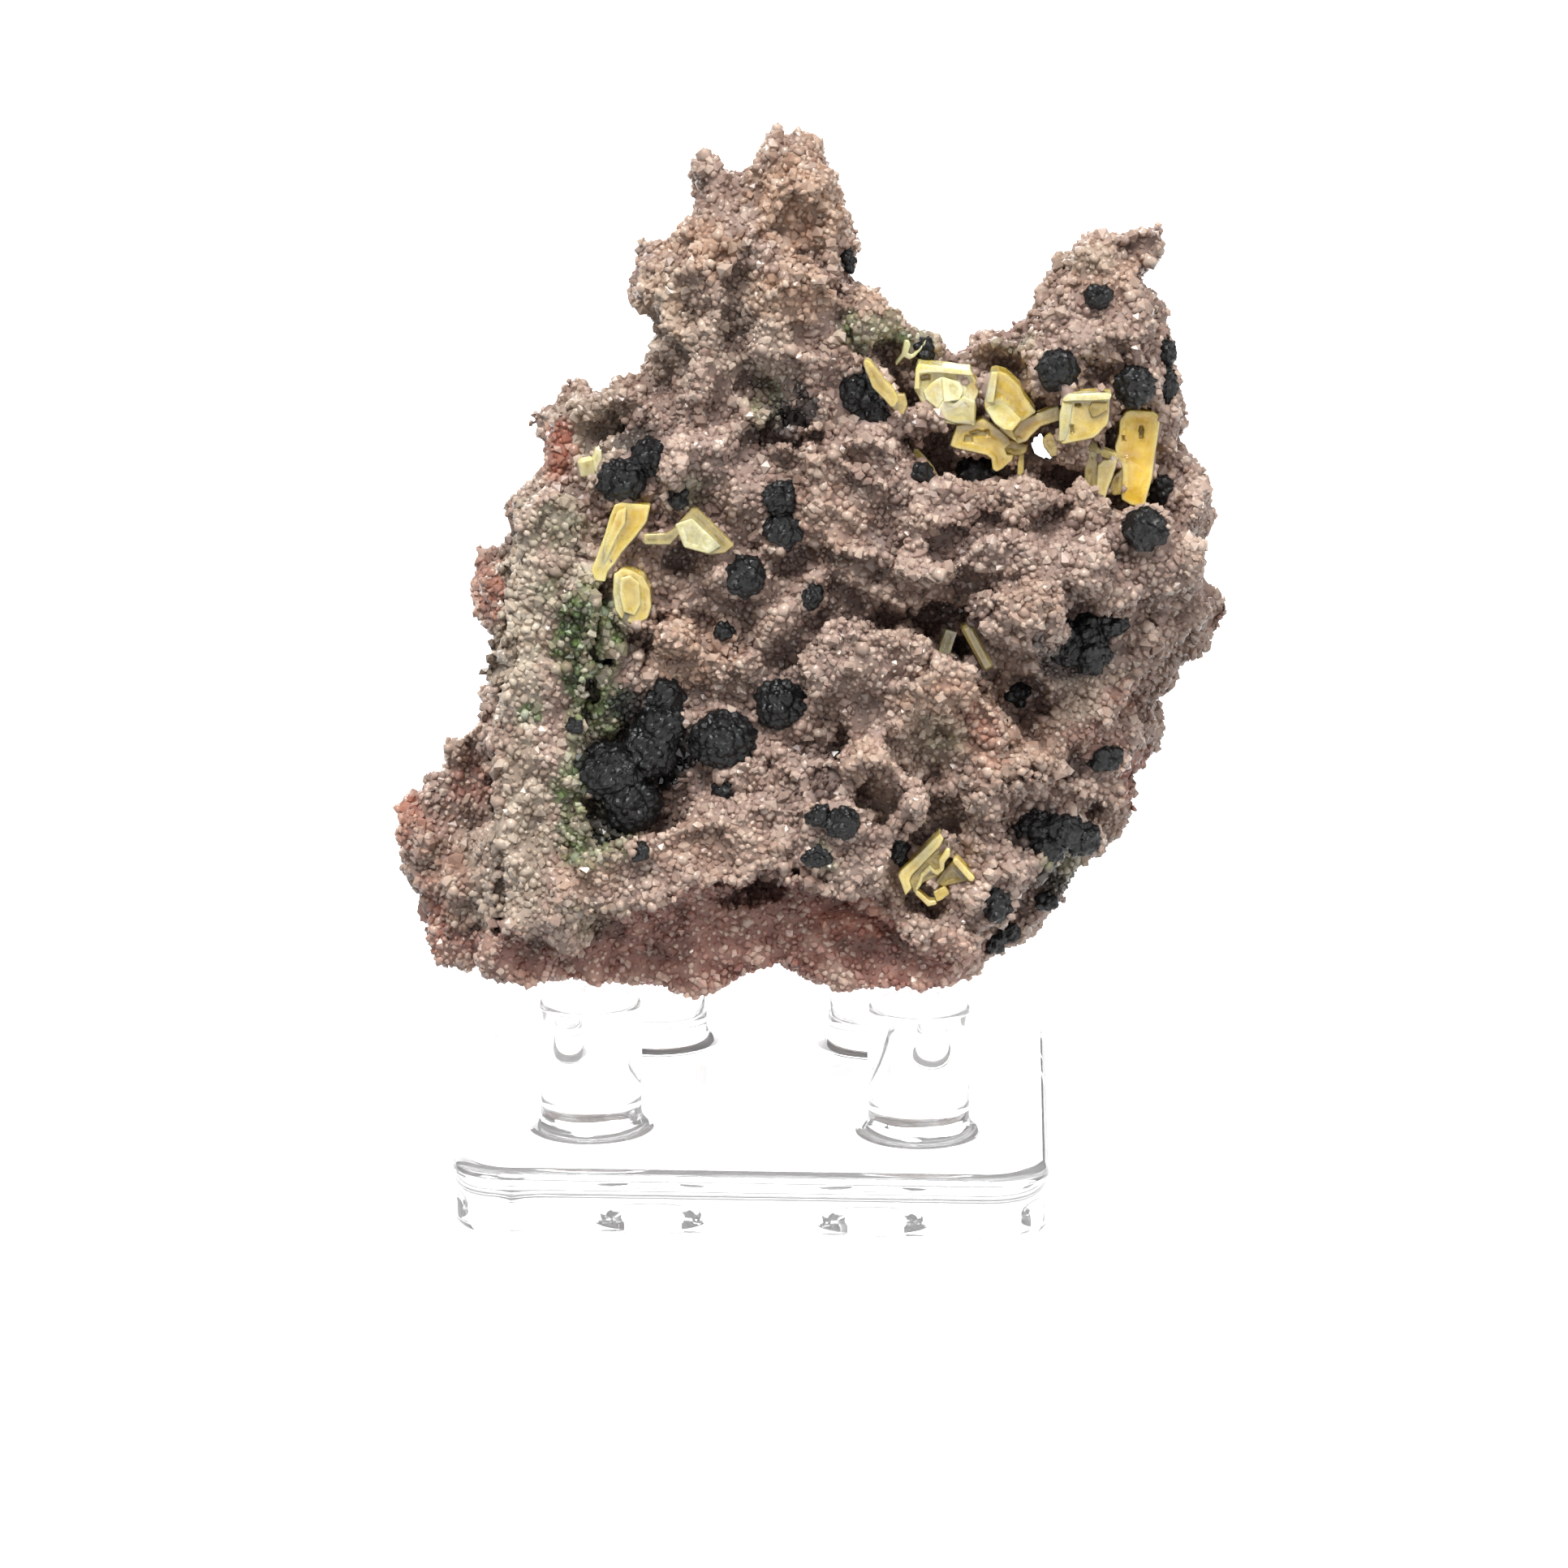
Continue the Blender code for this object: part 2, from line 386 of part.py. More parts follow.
def rock_stock(helpers):
    """Every mass and lump of the rock in one mesh, still passing through each other."""
    bm = bmesh.new()
    bm.from_mesh(upright_prism(SILHOUETTE, *BODY_DEPTHS, helpers))
    for depths, outline in MASSES.values():
        bm.from_mesh(upright_prism(outline, *depths, helpers))
    for x, z, depth, wide, high, deep in LUMPS:
        ball = bmesh.ops.create_icosphere(bm, subdivisions=3, radius=1.0)
        shape = Matrix.Translation((x, depth, z)) @ Matrix.Diagonal((wide, deep, high, 1.0))
        bmesh.ops.transform(bm, matrix=shape, verts=ball["verts"])
    return mesh_of(bm, "rock_stock")


def fused(mesh, voxel, helpers):
    """Overlapping shapes as one closed skin, made of cells this wide."""
    obj = place("to_fuse", mesh, helpers)
    remesh = obj.modifiers.new("one skin", "REMESH")
    remesh.mode = "VOXEL"
    remesh.voxel_size = voxel
    result = evaluated_mesh(obj)
    bpy.data.objects.remove(obj)
    return result


def lean_forward(mesh):
    """Brings the front of the rock's foot forward."""
    far, straight = LEAN
    for vertex in mesh.vertices:
        if vertex.co.y < 0:
            vertex.co.y -= far * max(0.0, 1 - vertex.co.z / straight) * min(1.0, -vertex.co.y / 3)


def press_hollows(mesh):
    """Pushes the front back inside each hollow, most at its middle."""
    for vertex in mesh.vertices:
        if vertex.co.y > 0:
            continue
        for x, z, radius, far in HOLLOWS:
            away = math.hypot(vertex.co.x - x, vertex.co.z - z) / radius
            if away < 1:
                vertex.co.y += far * (1 - away * away) ** 2


def share(value, start, end):
    """0 up to start, 1 from end."""
    return min(max((value - start) / (end - start), 0.0), 1.0)


def roughness_at(point):
    """How far the skin moves out here."""
    rough = SKIN_GROWTH + sum(high * noise.noise(point / grain) for grain, high in ROUGHNESS)
    wide, deep = BACK_CHIPS
    chip = noise.voronoi(point / wide)[0][0]
    return rough + share(point.y, *BACK_STARTS) * deep * (0.45 - chip)


def roughen(mesh):
    moves = [vertex.normal * roughness_at(vertex.co) for vertex in mesh.vertices]
    for vertex, move in zip(mesh.vertices, moves):
        vertex.co += move


def lowest(x, y):
    """How low the rock may reach here: onto the pegs, or a little lower between them."""
    near, far = PEG_CLEARANCE
    away = min(math.hypot(x - peg_x, y - peg_y) for peg_x, peg_y in PEGS.values())
    return REST - share(away, near, far) * SAG * (1 + noise.noise(Vector((x, y, 0.0)) / 3.0)) / 2


def thinned(mesh, triangles, helpers):
    """The mesh with about this many triangles."""
    mesh.calc_loop_triangles()
    obj = place("to_thin", mesh, helpers)
    decimate = obj.modifiers.new("fewer faces", "DECIMATE")
    decimate.ratio = triangles / len(mesh.loop_triangles)
    decimate.use_collapse_triangulate = True
    result = evaluated_mesh(obj)
    bpy.data.objects.remove(obj)
    return result


def uncut_rock(helpers):
    """The rock in its real place, before its light gap and the crystals' pockets are cut."""
    mesh = fused(rock_stock(helpers), STOCK_VOXEL, helpers)
    lean_forward(mesh)
    press_hollows(mesh)
    roughen(mesh)
    for vertex in mesh.vertices:
        vertex.co = at(vertex.co.x, vertex.co.z, vertex.co.y)
        vertex.co.z = max(vertex.co.z, lowest(vertex.co.x, vertex.co.y))
    mesh = fused(mesh, SKIN_VOXEL, helpers)
    mesh = thinned(mesh, UNCUT_TRIANGLES, helpers)
    for vertex in mesh.vertices:
        vertex.co.z = max(vertex.co.z, lowest(vertex.co.x, vertex.co.y))
    return mesh


def light_gap_cutter(helpers):
    mesh = upright_prism(LIGHT_GAP, -12.0, 20.0, helpers)
    for vertex in mesh.vertices:
        vertex.co = at(vertex.co.x, vertex.co.z, vertex.co.y)
    return mesh


def united(meshes, helpers):
    """One mesh of several that pass through each other."""
    if len(meshes) == 1:
        return meshes[0]
    pieces = [place("to_unite", mesh, helpers) for mesh in meshes]
    for other in pieces[1:]:
        union = pieces[0].modifiers.new("union", "BOOLEAN")
        union.operation = "UNION"
        union.object = other
    result = evaluated_mesh(pieces[0])
    for obj in pieces:
        bpy.data.objects.remove(obj)
    return result


def cut_from(mesh, cutters, helpers):
    """The mesh less everything in the collection of cutters."""
    obj = place("to_cut", mesh, helpers)
    cut = obj.modifiers.new("pockets", "BOOLEAN")
    cut.operation = "DIFFERENCE"
    cut.operand_type = "COLLECTION"
    cut.collection = cutters
    result = evaluated_mesh(obj)
    bpy.data.objects.remove(obj)
    return result


def largest_piece(mesh):
    """Drops crumbs that the cuts have left loose."""
    bm = bmesh.new()
    bm.from_mesh(mesh)
    left = set(bm.verts)
    pieces = []
    while left:
        piece = {left.pop()}
        edge = list(piece)
        while edge:
            near = {e.other_vert(v) for v in edge for e in v.link_edges} & left
            left -= near
            piece |= near
            edge = list(near)
        pieces.append(piece)
    keep = max(pieces, key=len)
    bmesh.ops.delete(bm, geom=[v for v in bm.verts if v not in keep], context="VERTS")
    return mesh_of(bm, "rock")


def faces_seen_at(tree, rows):
    """Where the rock is seen at each row's (x, z). Pieces grown together keep to nearly one depth."""
    sights = [(Vector((x, 0.0, z)) - EYE).normalized() for x, z, *_ in rows]
    far = []
    for sight, (x, z, *_) in zip(sights, rows):
        found = tree.ray_cast(EYE, sight)[0] or at(x, z, 2.0)
        far.append((found - EYE).length)
    mean = sum(far) / len(far)
    return [EYE + sight * (mean + (own - mean) * OWN_DEPTH) for sight, own in zip(sights, far)]


def ball_mesh(found, row, alone):
    """One black ball."""
    smooth = not alone or row[2] >= ROUND_FROM
    return ellipsoid(found, row, 2 if smooth else 1, 0.0, 1.0)


def ball_pocket(found, row):
    """A coarse hollow that clears the ball by GAP."""
    return ellipsoid(found, row, 1, GAP, 1 / ICOSAHEDRON_INSIDE)


def ellipsoid(found, row, subdivisions, extra, scale):
    x, z, half_width, half_height = row
    middle = found + (EYE - found).normalized() * BALL_STANDS_OUT * half_width
    half_depth = (half_width + half_height) / 2
    sizes = [(half + extra) * scale for half in (half_width, half_depth, half_height)]
    bm = bmesh.new()
    bmesh.ops.create_icosphere(bm, subdivisions=subdivisions, radius=1.0)
    turn = Matrix.Rotation(x * 1.7 + z, 4, "Y")
    placed = Matrix.Translation(middle) @ Matrix.Diagonal((*sizes, 1.0)) @ turn
    bmesh.ops.transform(bm, matrix=placed, verts=bm.verts)
    return mesh_of(bm, "ball")


def crystal_mesh(found, row, _alone):
    """One tablet with bevelled edges. A thin blade is left plain."""
    return tablet(found, row, 0.0, row[6])


def crystal_pocket(found, row):
    """A square hollow that clears the tablet by GAP."""
    return tablet(found, row, GAP, 0.0)


def tablet(found, row, extra, bevel):
    _, _, out, width, height, thick, _, lean, turn, tip = row
    bm = bmesh.new()
    bmesh.ops.create_cube(bm, size=1.0)
    sides = [side + 2 * extra for side in (width, thick, height)]
    bmesh.ops.scale(bm, vec=sides, verts=bm.verts)
    if bevel > LEAST_BEVEL:
        bmesh.ops.bevel(bm, geom=bm.edges[:], offset=bevel, segments=1, affect="EDGES", clamp_overlap=True)
    placed = (
        Matrix.Translation(found + (EYE - found).normalized() * out)
        @ Matrix.Rotation(math.radians(turn), 4, "Z")
        @ Matrix.Rotation(math.radians(tip), 4, "X")
        @ Matrix.Rotation(math.radians(lean), 4, "Y")
    )
    bmesh.ops.transform(bm, matrix=placed, verts=bm.verts)
    return mesh_of(bm, "crystal")


def build_set(groups, make, make_pocket, tree, finish, model, cutters, helpers):
    """The named pieces that make() gives, each with the cutters for its pocket in the rock."""
    for name, rows in groups.items():
        found = faces_seen_at(tree, rows)
        meshes = [make(point, row, len(rows) == 1) for point, row in zip(found, rows)]
        finished(place(name, united(meshes, helpers), model, finish))
        for point, row in zip(found, rows):
            place("pocket_" + name, make_pocket(point, row), cutters)


def plate_mesh():
    """The stand's plate, with its round corners and softened edges."""
    bm = bmesh.new()
    bmesh.ops.create_cube(bm, size=1.0)
    bmesh.ops.scale(bm, vec=(PLATE_WIDTH, PLATE_DEPTH, PLATE_THICKNESS), verts=bm.verts)
    bmesh.ops.translate(bm, vec=(0, 0, PLATE_THICKNESS / 2), verts=bm.verts)
    upright = [edge for edge in bm.edges if abs(edge.verts[0].co.z - edge.verts[1].co.z) > 1]
    bmesh.ops.bevel(bm, geom=upright, offset=PLATE_CORNER, segments=5, profile=0.5, affect="EDGES")
    rims = [edge for edge in bm.edges if abs(edge.verts[0].co.z - edge.verts[1].co.z) < 0.001]
    bmesh.ops.bevel(bm, geom=rims, offset=PLATE_EDGE, segments=2, profile=0.5, affect="EDGES")
    return mesh_of(bm, "plate")


def peg_mesh(helpers):
    """A peg turned from its profile, with the flared ring at its foot."""
    flare = PEG_FOOT_RADIUS - PEG_RADIUS
    profile = [
        (0.0, PEG_HEIGHT), (PEG_RADIUS, PEG_HEIGHT),
        (PEG_RADIUS, PEG_FOOT_HEIGHT), (PEG_RADIUS + 0.35 * flare, 0.35 * PEG_FOOT_HEIGHT),
        (PEG_FOOT_RADIUS, 0.15), (PEG_FOOT_RADIUS, 0.0), (0.0, 0.0),
    ]
    bm = bmesh.new()
    points = [bm.verts.new((radius, 0.0, z)) for radius, z in profile]
    for upper, lower in zip(points, points[1:]):
        bm.edges.new((upper, lower))
    obj = place("peg_profile", mesh_of(bm, "peg_profile"), helpers)
    screw = obj.modifiers.new("turned", "SCREW")
    screw.steps = screw.render_steps = PEG_SIDES
    screw.use_merge_vertices = True
    screw.merge_threshold = 0.0001
    mesh = evaluated_mesh(obj)
    bpy.data.objects.remove(obj)
    return mesh


def build_stand(model, helpers):
    acrylic = material("clear_acrylic", (0.97, 0.98, 0.98), 0.04, transmission=1.0)
    finished(place("display_base", plate_mesh(), model, acrylic))
    for name, (x, y) in PEGS.items():
        mesh = peg_mesh(helpers)
        mesh.transform(Matrix.Translation((x, y, PLATE_THICKNESS + GAP)))
        mesh.shade_smooth()
        mesh.set_sharp_from_angle(angle=math.radians(35))
        finished(place(name, mesh, model, acrylic))


def main():
    clear_scene()
    model = collection("wulfenite_specimen")
    helpers = collection("helpers")
    cutters = collection("cutters")
    helpers.hide_render = cutters.hide_render = True
    build_stand(model, helpers)
    uncut = uncut_rock(helpers)
    tree = BVHTree.FromPolygons([v.co for v in uncut.vertices], [p.vertices for p in uncut.polygons])
    black = material("black_mineral", (0.012, 0.013, 0.014), 0.4)
    yellow = material("wulfenite", (0.72, 0.56, 0.10), 0.15)
    build_set(BALLS, ball_mesh, ball_pocket, tree, black, model, cutters, helpers)
    build_set(CRYSTALS, crystal_mesh, crystal_pocket, tree, yellow, model, cutters, helpers)
    place("light_gap", light_gap_cutter(helpers), cutters)
    druse = material("drusy_matrix", (0.33, 0.25, 0.21), 0.7)
    rock = largest_piece(cut_from(uncut, cutters, helpers))
    rock = thinned(rock, ROCK_TRIANGLES, helpers)
    finished(place("matrix", rock, model, druse))
    for obj in list(cutters.objects):
        bpy.data.objects.remove(obj)


main()
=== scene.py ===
"""The looks of the wulfenite specimen: drusy rock, black balls, yellow crystals and clear stand.

Shapes are worked out in millimetres, in the frame's axes, and brought to metres at the end.
Patches of colour are laid out as they look from EYE: x and z on the upright plane y = 0.
"""

import math

import bmesh
import bpy
import numpy as np
from mathutils import Matrix, Vector, noise
from mathutils.bvhtree import BVHTree


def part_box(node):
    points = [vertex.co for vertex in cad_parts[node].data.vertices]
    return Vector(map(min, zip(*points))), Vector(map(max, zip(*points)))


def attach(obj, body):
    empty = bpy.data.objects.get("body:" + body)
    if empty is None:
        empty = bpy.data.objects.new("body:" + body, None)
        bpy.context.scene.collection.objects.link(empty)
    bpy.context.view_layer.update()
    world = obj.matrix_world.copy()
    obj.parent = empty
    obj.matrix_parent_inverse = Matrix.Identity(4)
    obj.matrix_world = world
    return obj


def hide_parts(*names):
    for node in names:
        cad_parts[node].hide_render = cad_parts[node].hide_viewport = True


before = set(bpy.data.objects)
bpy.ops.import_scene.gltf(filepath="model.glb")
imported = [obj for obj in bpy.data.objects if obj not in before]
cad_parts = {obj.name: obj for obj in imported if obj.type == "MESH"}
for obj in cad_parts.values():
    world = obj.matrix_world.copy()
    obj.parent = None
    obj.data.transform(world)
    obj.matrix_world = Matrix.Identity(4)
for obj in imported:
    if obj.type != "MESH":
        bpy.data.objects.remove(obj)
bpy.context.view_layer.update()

MM = 0.001
SEED = 7

# Where the camera stands, mm, and how it looks, degrees
EYE = Vector((17.79, -357.21, 127.20))
LOOKS_DOWN = 15.08
LOOKS_LEFT = 2.55
LENS = 107.96

ROOM_LIGHT = (0.8, 2.1)  # strength of the room's light below and above
TOP_LIGHT = 4.2
RIGHT_LIGHT = 1.6
FRONT_LIGHT = 0.7
BACK_LIGHT = 3.2
FLOOR_GLOW = 1.45

# The rock's fine skin, mm
ROCK_VOXEL = 0.42
FILL_GROWTH = 0.45
FILL_BACK = 0.6
SHARPENED = 0.3
BROAD_ROUNDS = 120
CREVICE_ROUNDS = (24, 160)  # rounds of smoothing that find the narrow crevices and the wide ones
TUCK_REACH = 0.5
TUCK_DEPTH = 0.25
SIGHT_REACH = 0.35  # rock this far behind a piece's surface may still hide it
SIGHT_CLEAR = 0.3  # and is sunk this far below that surface
# The hole that shows light, (x, z) as seen from EYE
LIGHT_GAP = [
    (21.5, 59.1), (22.1, 58.9), (21.8, 58.4), (22.3, 57.4), (22.8, 57.0), (22.5, 56.8), (21.7, 57.0),
    (20.9, 57.4), (20.8, 58.0), (21.2, 58.6), (21.5, 59.1),
]
GAP_MARGIN = 0.5
GAP_SUNK = 0.1
LUMPS = ((1.5, 0.3),)  # width and height of the druse's rounded lumps
BLOCKS = ((4.2, 0.6), (1.9, 0.32))  # width and height of the druse's flat, tilted faces
CHIPS = ((4.2, 0.8), (1.5, 0.45))  # width and height of the broken face's chips
BACK_FACES = ((9.0, 0.8), (3.6, 0.5))  # width and height of the broken back's flat faces
SKIN_NOISE = (0.8, 0.10)
SKIN_SUNK = 0.5  # how deep the skin lies, to leave room for the grains
CREASES = (5.2, 0.5)  # width and depth of the creases between the druse's larger faces
WARP = (2.2, 0.6)  # the width and reach of the noise that bends the lumps' edges

# The crystals, mm
CRYSTAL_GRID = 0.26
WINDOW_GRID = 0.09
WINDOW_MARGIN = 0.2
GROWTH_STEPS = ((0.2, -0.04), (0.6, 0.03))  # how far from the edge, and the rise there
EDGE_WEAR = 0.03
CRYSTAL_IOR = 1.75  # below wulfenite's 2.3, to hold back the glare on its milky faces
WINDOW_DEPTH = 0.2
# Sunk windows: (x, z, width, height, turn in degrees) as seen from EYE
WINDOWS = [
    (12.75, 63.35, 0.8, 0.45, 0), (16.9, 59.0, 1.6, 0.5, 4), (16.1, 58.6, 0.7, 0.6, 0),
    (24.5, 61.3, 0.6, 0.3, 0), (24.1, 59.4, 0.35, 0.7, 0), (29.4, 59.2, 0.35, 1.0, 4),
    (28.05, 58.7, 0.25, 0.4, 4),
]
# Crystals with outlines of their own, in plates: the front's y, thickness, lean along x and z, how olive
# it is, and its outline's (x, z) as seen from EYE
DRAWN = {
    "wulfenite_left_blade": [
        (-7.5, 1.3, 0.25, 0.10, 0.0, [
            (-11.3, 53.1), (-10.8, 53.3), (-8.5, 53.1), (-8.8, 51.8), (-9.6, 50.7), (-10.8, 49.3),
            (-11.3, 48.5), (-11.9, 47.8), (-12.1, 47.0), (-13.0, 47.1), (-13.2, 47.8), (-12.6, 49.4),
            (-12.1, 50.7), (-11.7, 52.1)]),
        (-7.8, 1.0, -0.15, 0.10, 0.0, [
            (-11.1, 52.6), (-10.4, 52.9), (-10.5, 51.6), (-11.2, 50.4), (-12.0, 48.6), (-12.6, 47.4),
            (-13.0, 47.6), (-12.4, 49.4), (-11.7, 51.0)]),
    ],
    "wulfenite_left_barrel": [
        (-7.8, 2.4, 0.12, 0.10, 0.1, [
            (-11.4, 47.6), (-10.8, 48.0), (-10.0, 47.9), (-9.1, 47.4), (-8.6, 46.4), (-8.5, 45.0),
            (-8.8, 44.1), (-9.4, 43.8), (-10.1, 43.7), (-10.9, 44.1), (-11.3, 44.7), (-11.5, 46.1)]),
        (-8.1, 1.6, 0.20, 0.05, 0.1, [
            (-10.9, 47.3), (-10.1, 47.5), (-9.4, 46.9), (-9.3, 45.2), (-9.8, 44.3), (-10.7, 44.6),
            (-11.0, 46.0)]),
    ],
    "wulfenite_left_tablet": [
        (-8.0, 0.5, 0.25, 0.15, 0.0, [(-6.6, 51.6), (-5.3, 52.1), (-3.0, 49.9), (-4.0, 49.3), (-5.9, 49.8)]),
        (-7.5, 0.8, 0.05, 0.10, 0.8, [
            (-5.3, 52.9), (-4.9, 52.9), (-2.0, 50.0), (-2.7, 49.4), (-4.0, 49.2), (-6.3, 51.8)]),
        (-7.4, 0.7, 0.0, 0.15, 0.6, [
            (-9.1, 50.8), (-7.2, 50.9), (-6.3, 51.6), (-6.0, 51.1), (-7.0, 50.0), (-9.0, 50.0)]),
    ],
    "wulfenite_row_group": [
        (-3.3, 2.4, 0.0, 0.15, 0.2, [
            (12.0, 64.0), (12.2, 64.4), (13.0, 64.3), (14.3, 64.2), (15.4, 64.0), (16.2, 64.0), (16.4, 63.5),
            (16.9, 62.7), (16.9, 62.2), (16.6, 61.6), (16.7, 61.0), (16.6, 59.5), (16.1, 59.7), (14.8, 59.7),
            (14.2, 59.8), (13.9, 60.2), (13.8, 60.7), (12.8, 61.1), (12.4, 61.5), (11.9, 62.4)]),
        (-3.6, 2.0, 0.0, 0.15, 0.0, [
            (12.0, 64.0), (12.2, 64.4), (13.0, 64.3), (15.4, 64.0), (16.2, 64.0), (16.4, 63.5), (16.1, 63.5),
            (15.2, 63.6), (13.8, 63.7), (13.0, 63.7), (12.3, 63.6), (12.3, 63.0), (12.3, 62.4),
            (11.9, 62.4)]),
        (-3.6, 1.5, -0.15, 0.10, 0.0, [
            (12.6, 62.2), (13.2, 62.9), (14.0, 63.4), (14.2, 61.6), (13.7, 60.9), (12.8, 61.6)]),
        (-3.7, 1.5, 0.25, 0.35, 0.0, [
            (14.0, 63.4), (15.4, 63.0), (15.7, 62.3), (15.4, 61.6), (14.2, 61.4)]),
        (-3.8, 1.5, 0.05, -0.10, 0.0, [
            (14.2, 61.6), (15.0, 61.3), (15.7, 61.9), (16.3, 61.6), (16.6, 61.5), (16.6, 59.6), (14.9, 59.8),
            (14.0, 60.2), (13.7, 60.9)]),
        (-3.6, 2.6, 0.15, 0.10, 0.25, [
            (17.8, 63.8), (18.2, 63.9), (18.9, 63.7), (19.4, 63.3), (20.1, 62.6), (20.4, 61.9), (21.0, 61.1),
            (21.3, 60.7), (20.2, 59.9), (19.5, 59.2), (19.9, 58.3), (19.2, 58.8), (18.1, 59.8), (17.4, 60.8),
            (17.3, 61.4), (17.5, 62.5), (17.7, 63.3)]),
        (-3.9, 1.0, -0.5, 0.10, 0.0, [
            (17.8, 63.8), (18.3, 63.8), (18.2, 62.8), (18.0, 61.4), (17.3, 61.4), (17.5, 62.5),
            (17.7, 63.3)]),
        (-4.0, 1.2, 0.10, 0.30, 0.0, [
            (18.0, 61.4), (18.4, 61.6), (19.2, 61.1), (20.2, 60.1), (19.5, 59.2), (18.8, 59.3), (18.1, 59.8),
            (17.4, 60.9)]),
        (-3.0, 1.4, 0.0, 0.10, 0.05, [
            (20.2, 60.1), (21.0, 60.4), (22.3, 61.0), (23.0, 61.2), (23.1, 60.8), (23.2, 60.1), (22.3, 59.8),
            (21.7, 59.6), (21.0, 58.9), (20.6, 58.4), (19.9, 58.2), (19.4, 58.9)]),
        (-3.2, 2.0, 0.0, 0.10, 0.35, [
            (15.2, 59.6), (16.3, 59.8), (17.2, 60.1), (17.8, 59.8), (18.4, 59.4), (19.2, 58.7), (19.4, 58.2),
            (18.9, 57.8), (19.1, 57.3), (19.6, 57.3), (19.5, 56.9), (18.7, 56.2), (18.3, 56.0), (18.0, 56.2),
            (17.9, 57.0), (17.5, 57.3), (16.6, 57.5), (15.2, 57.8), (14.7, 58.0), (14.9, 58.7)]),
        (-2.8, 1.6, 0.0, 0.20, 0.8, [
            (19.2, 58.6), (20.1, 58.3), (20.7, 58.1), (20.6, 57.6), (20.2, 57.3), (19.6, 57.3),
            (18.8, 57.7)]),
        (-2.6, 0.5, 0.0, 0.0, 0.1, [(20.0, 57.5), (20.4, 57.5), (20.4, 56.0), (20.2, 55.7), (19.9, 55.8)]),
        (-3.0, 0.6, 0.0, 0.0, 0.8, [
            (22.1, 58.9), (22.4, 59.1), (23.0, 58.5), (23.0, 57.3), (22.5, 57.2), (21.9, 58.0),
            (21.8, 58.5)]),
    ],
    "wulfenite_row_square": [
        (-6.0, 2.2, 0.05, 0.10, 0.3, [
            (23.3, 61.7), (23.7, 62.1), (25.4, 62.2), (26.9, 62.2), (27.1, 62.1), (26.9, 61.6), (26.9, 60.7),
            (26.8, 59.8), (26.4, 59.4), (26.1, 59.0), (25.7, 58.7), (24.9, 58.5), (23.4, 58.2), (23.0, 58.5),
            (23.1, 59.1), (23.1, 60.4), (23.3, 61.2)]),
        (-6.2, 1.2, 0.0, 0.25, 0.0, [
            (23.3, 61.7), (23.7, 62.1), (25.4, 62.2), (26.9, 62.2), (27.1, 62.1), (26.9, 61.7), (25.4, 61.6),
            (24.2, 61.6), (23.4, 61.5)]),
        (-6.2, 1.2, 0.20, 0.05, 0.1, [
            (23.3, 61.5), (24.1, 61.4), (24.0, 60.1), (23.8, 59.1), (23.6, 58.5), (23.1, 58.4),
            (23.1, 60.4)]),
        (-6.1, 0.5, 0.0, 0.10, 1.0, [
            (25.5, 61.5), (26.8, 61.5), (26.8, 60.9), (26.1, 60.4), (25.6, 60.3), (25.3, 60.9)]),
    ],
    "wulfenite_row_slender": [
        (-3.6, 1.6, 0.10, 0.10, 0.3, [
            (25.3, 57.7), (26.1, 57.7), (26.1, 56.6), (26.0, 54.8), (25.3, 54.7), (25.1, 55.2), (25.1, 56.4),
            (25.3, 57.3)]),
        (-3.9, 1.6, 0.0, 0.10, 0.05, [
            (26.1, 56.6), (26.5, 57.0), (27.2, 57.0), (27.6, 57.0), (27.3, 55.8), (26.9, 54.7), (26.7, 53.9),
            (26.1, 53.9), (26.0, 54.8)]),
        (-3.4, 1.4, 0.0, 0.30, 0.15, [
            (25.6, 58.9), (25.9, 58.8), (26.1, 58.0), (26.9, 57.7), (27.5, 57.5), (27.7, 57.0), (27.2, 57.0),
            (26.5, 57.2), (25.7, 57.6), (25.3, 57.8)]),
        (-3.2, 1.2, 0.0, 0.0, 1.0, [
            (27.3, 55.7), (28.0, 56.4), (28.0, 55.4), (27.9, 54.3), (27.3, 54.2), (27.0, 54.7)]),
    ],
    "wulfenite_row_prism": [
        (-2.5, 2.6, 0.10, 0.10, 0.0, [
            (27.7, 60.1), (28.2, 60.8), (28.5, 60.9), (30.3, 60.8), (30.7, 60.5), (30.8, 60.0), (30.6, 58.5),
            (30.4, 56.8), (30.3, 55.6), (29.9, 54.0), (29.8, 53.4), (29.5, 53.3), (28.7, 53.5), (28.0, 53.9),
            (27.9, 54.6), (28.0, 55.6), (28.0, 56.4), (27.5, 57.4), (27.4, 58.0), (27.7, 59.1)]),
    ],
    "wulfenite_notch_sprig": [
        (-0.9, 0.7, 0.0, 0.10, 0.0, [
            (11.1, 66.2), (11.5, 66.2), (11.6, 65.8), (11.4, 65.2), (11.7, 65.1), (12.3, 65.7), (12.8, 66.3),
            (12.7, 65.8), (11.9, 64.9), (11.5, 64.7), (11.1, 64.9), (10.5, 64.2), (10.4, 64.5),
            (10.9, 65.2)]),
    ],
    "wulfenite_recess_needle": [
        (-2.0, 0.6, 0.0, 0.0, 0.3, [
            (11.1, 59.0), (11.5, 58.9), (11.9, 58.0), (12.5, 57.4), (13.4, 56.4), (13.8, 55.6), (13.6, 55.1),
            (12.8, 55.9), (12.1, 56.8), (11.7, 57.8), (11.2, 58.5)]),
    ],
    "wulfenite_notch_blade": [
        (-6.4, 1.2, 0.20, 0.10, 0.2, [
            (8.0, 64.5), (8.2, 64.7), (8.6, 64.5), (9.1, 63.8), (9.7, 63.0), (10.3, 62.4), (10.6, 61.9),
            (10.7, 61.5), (10.4, 61.0), (10.1, 61.0), (9.6, 61.6), (8.7, 62.5), (8.4, 63.3), (8.1, 64.0)]),
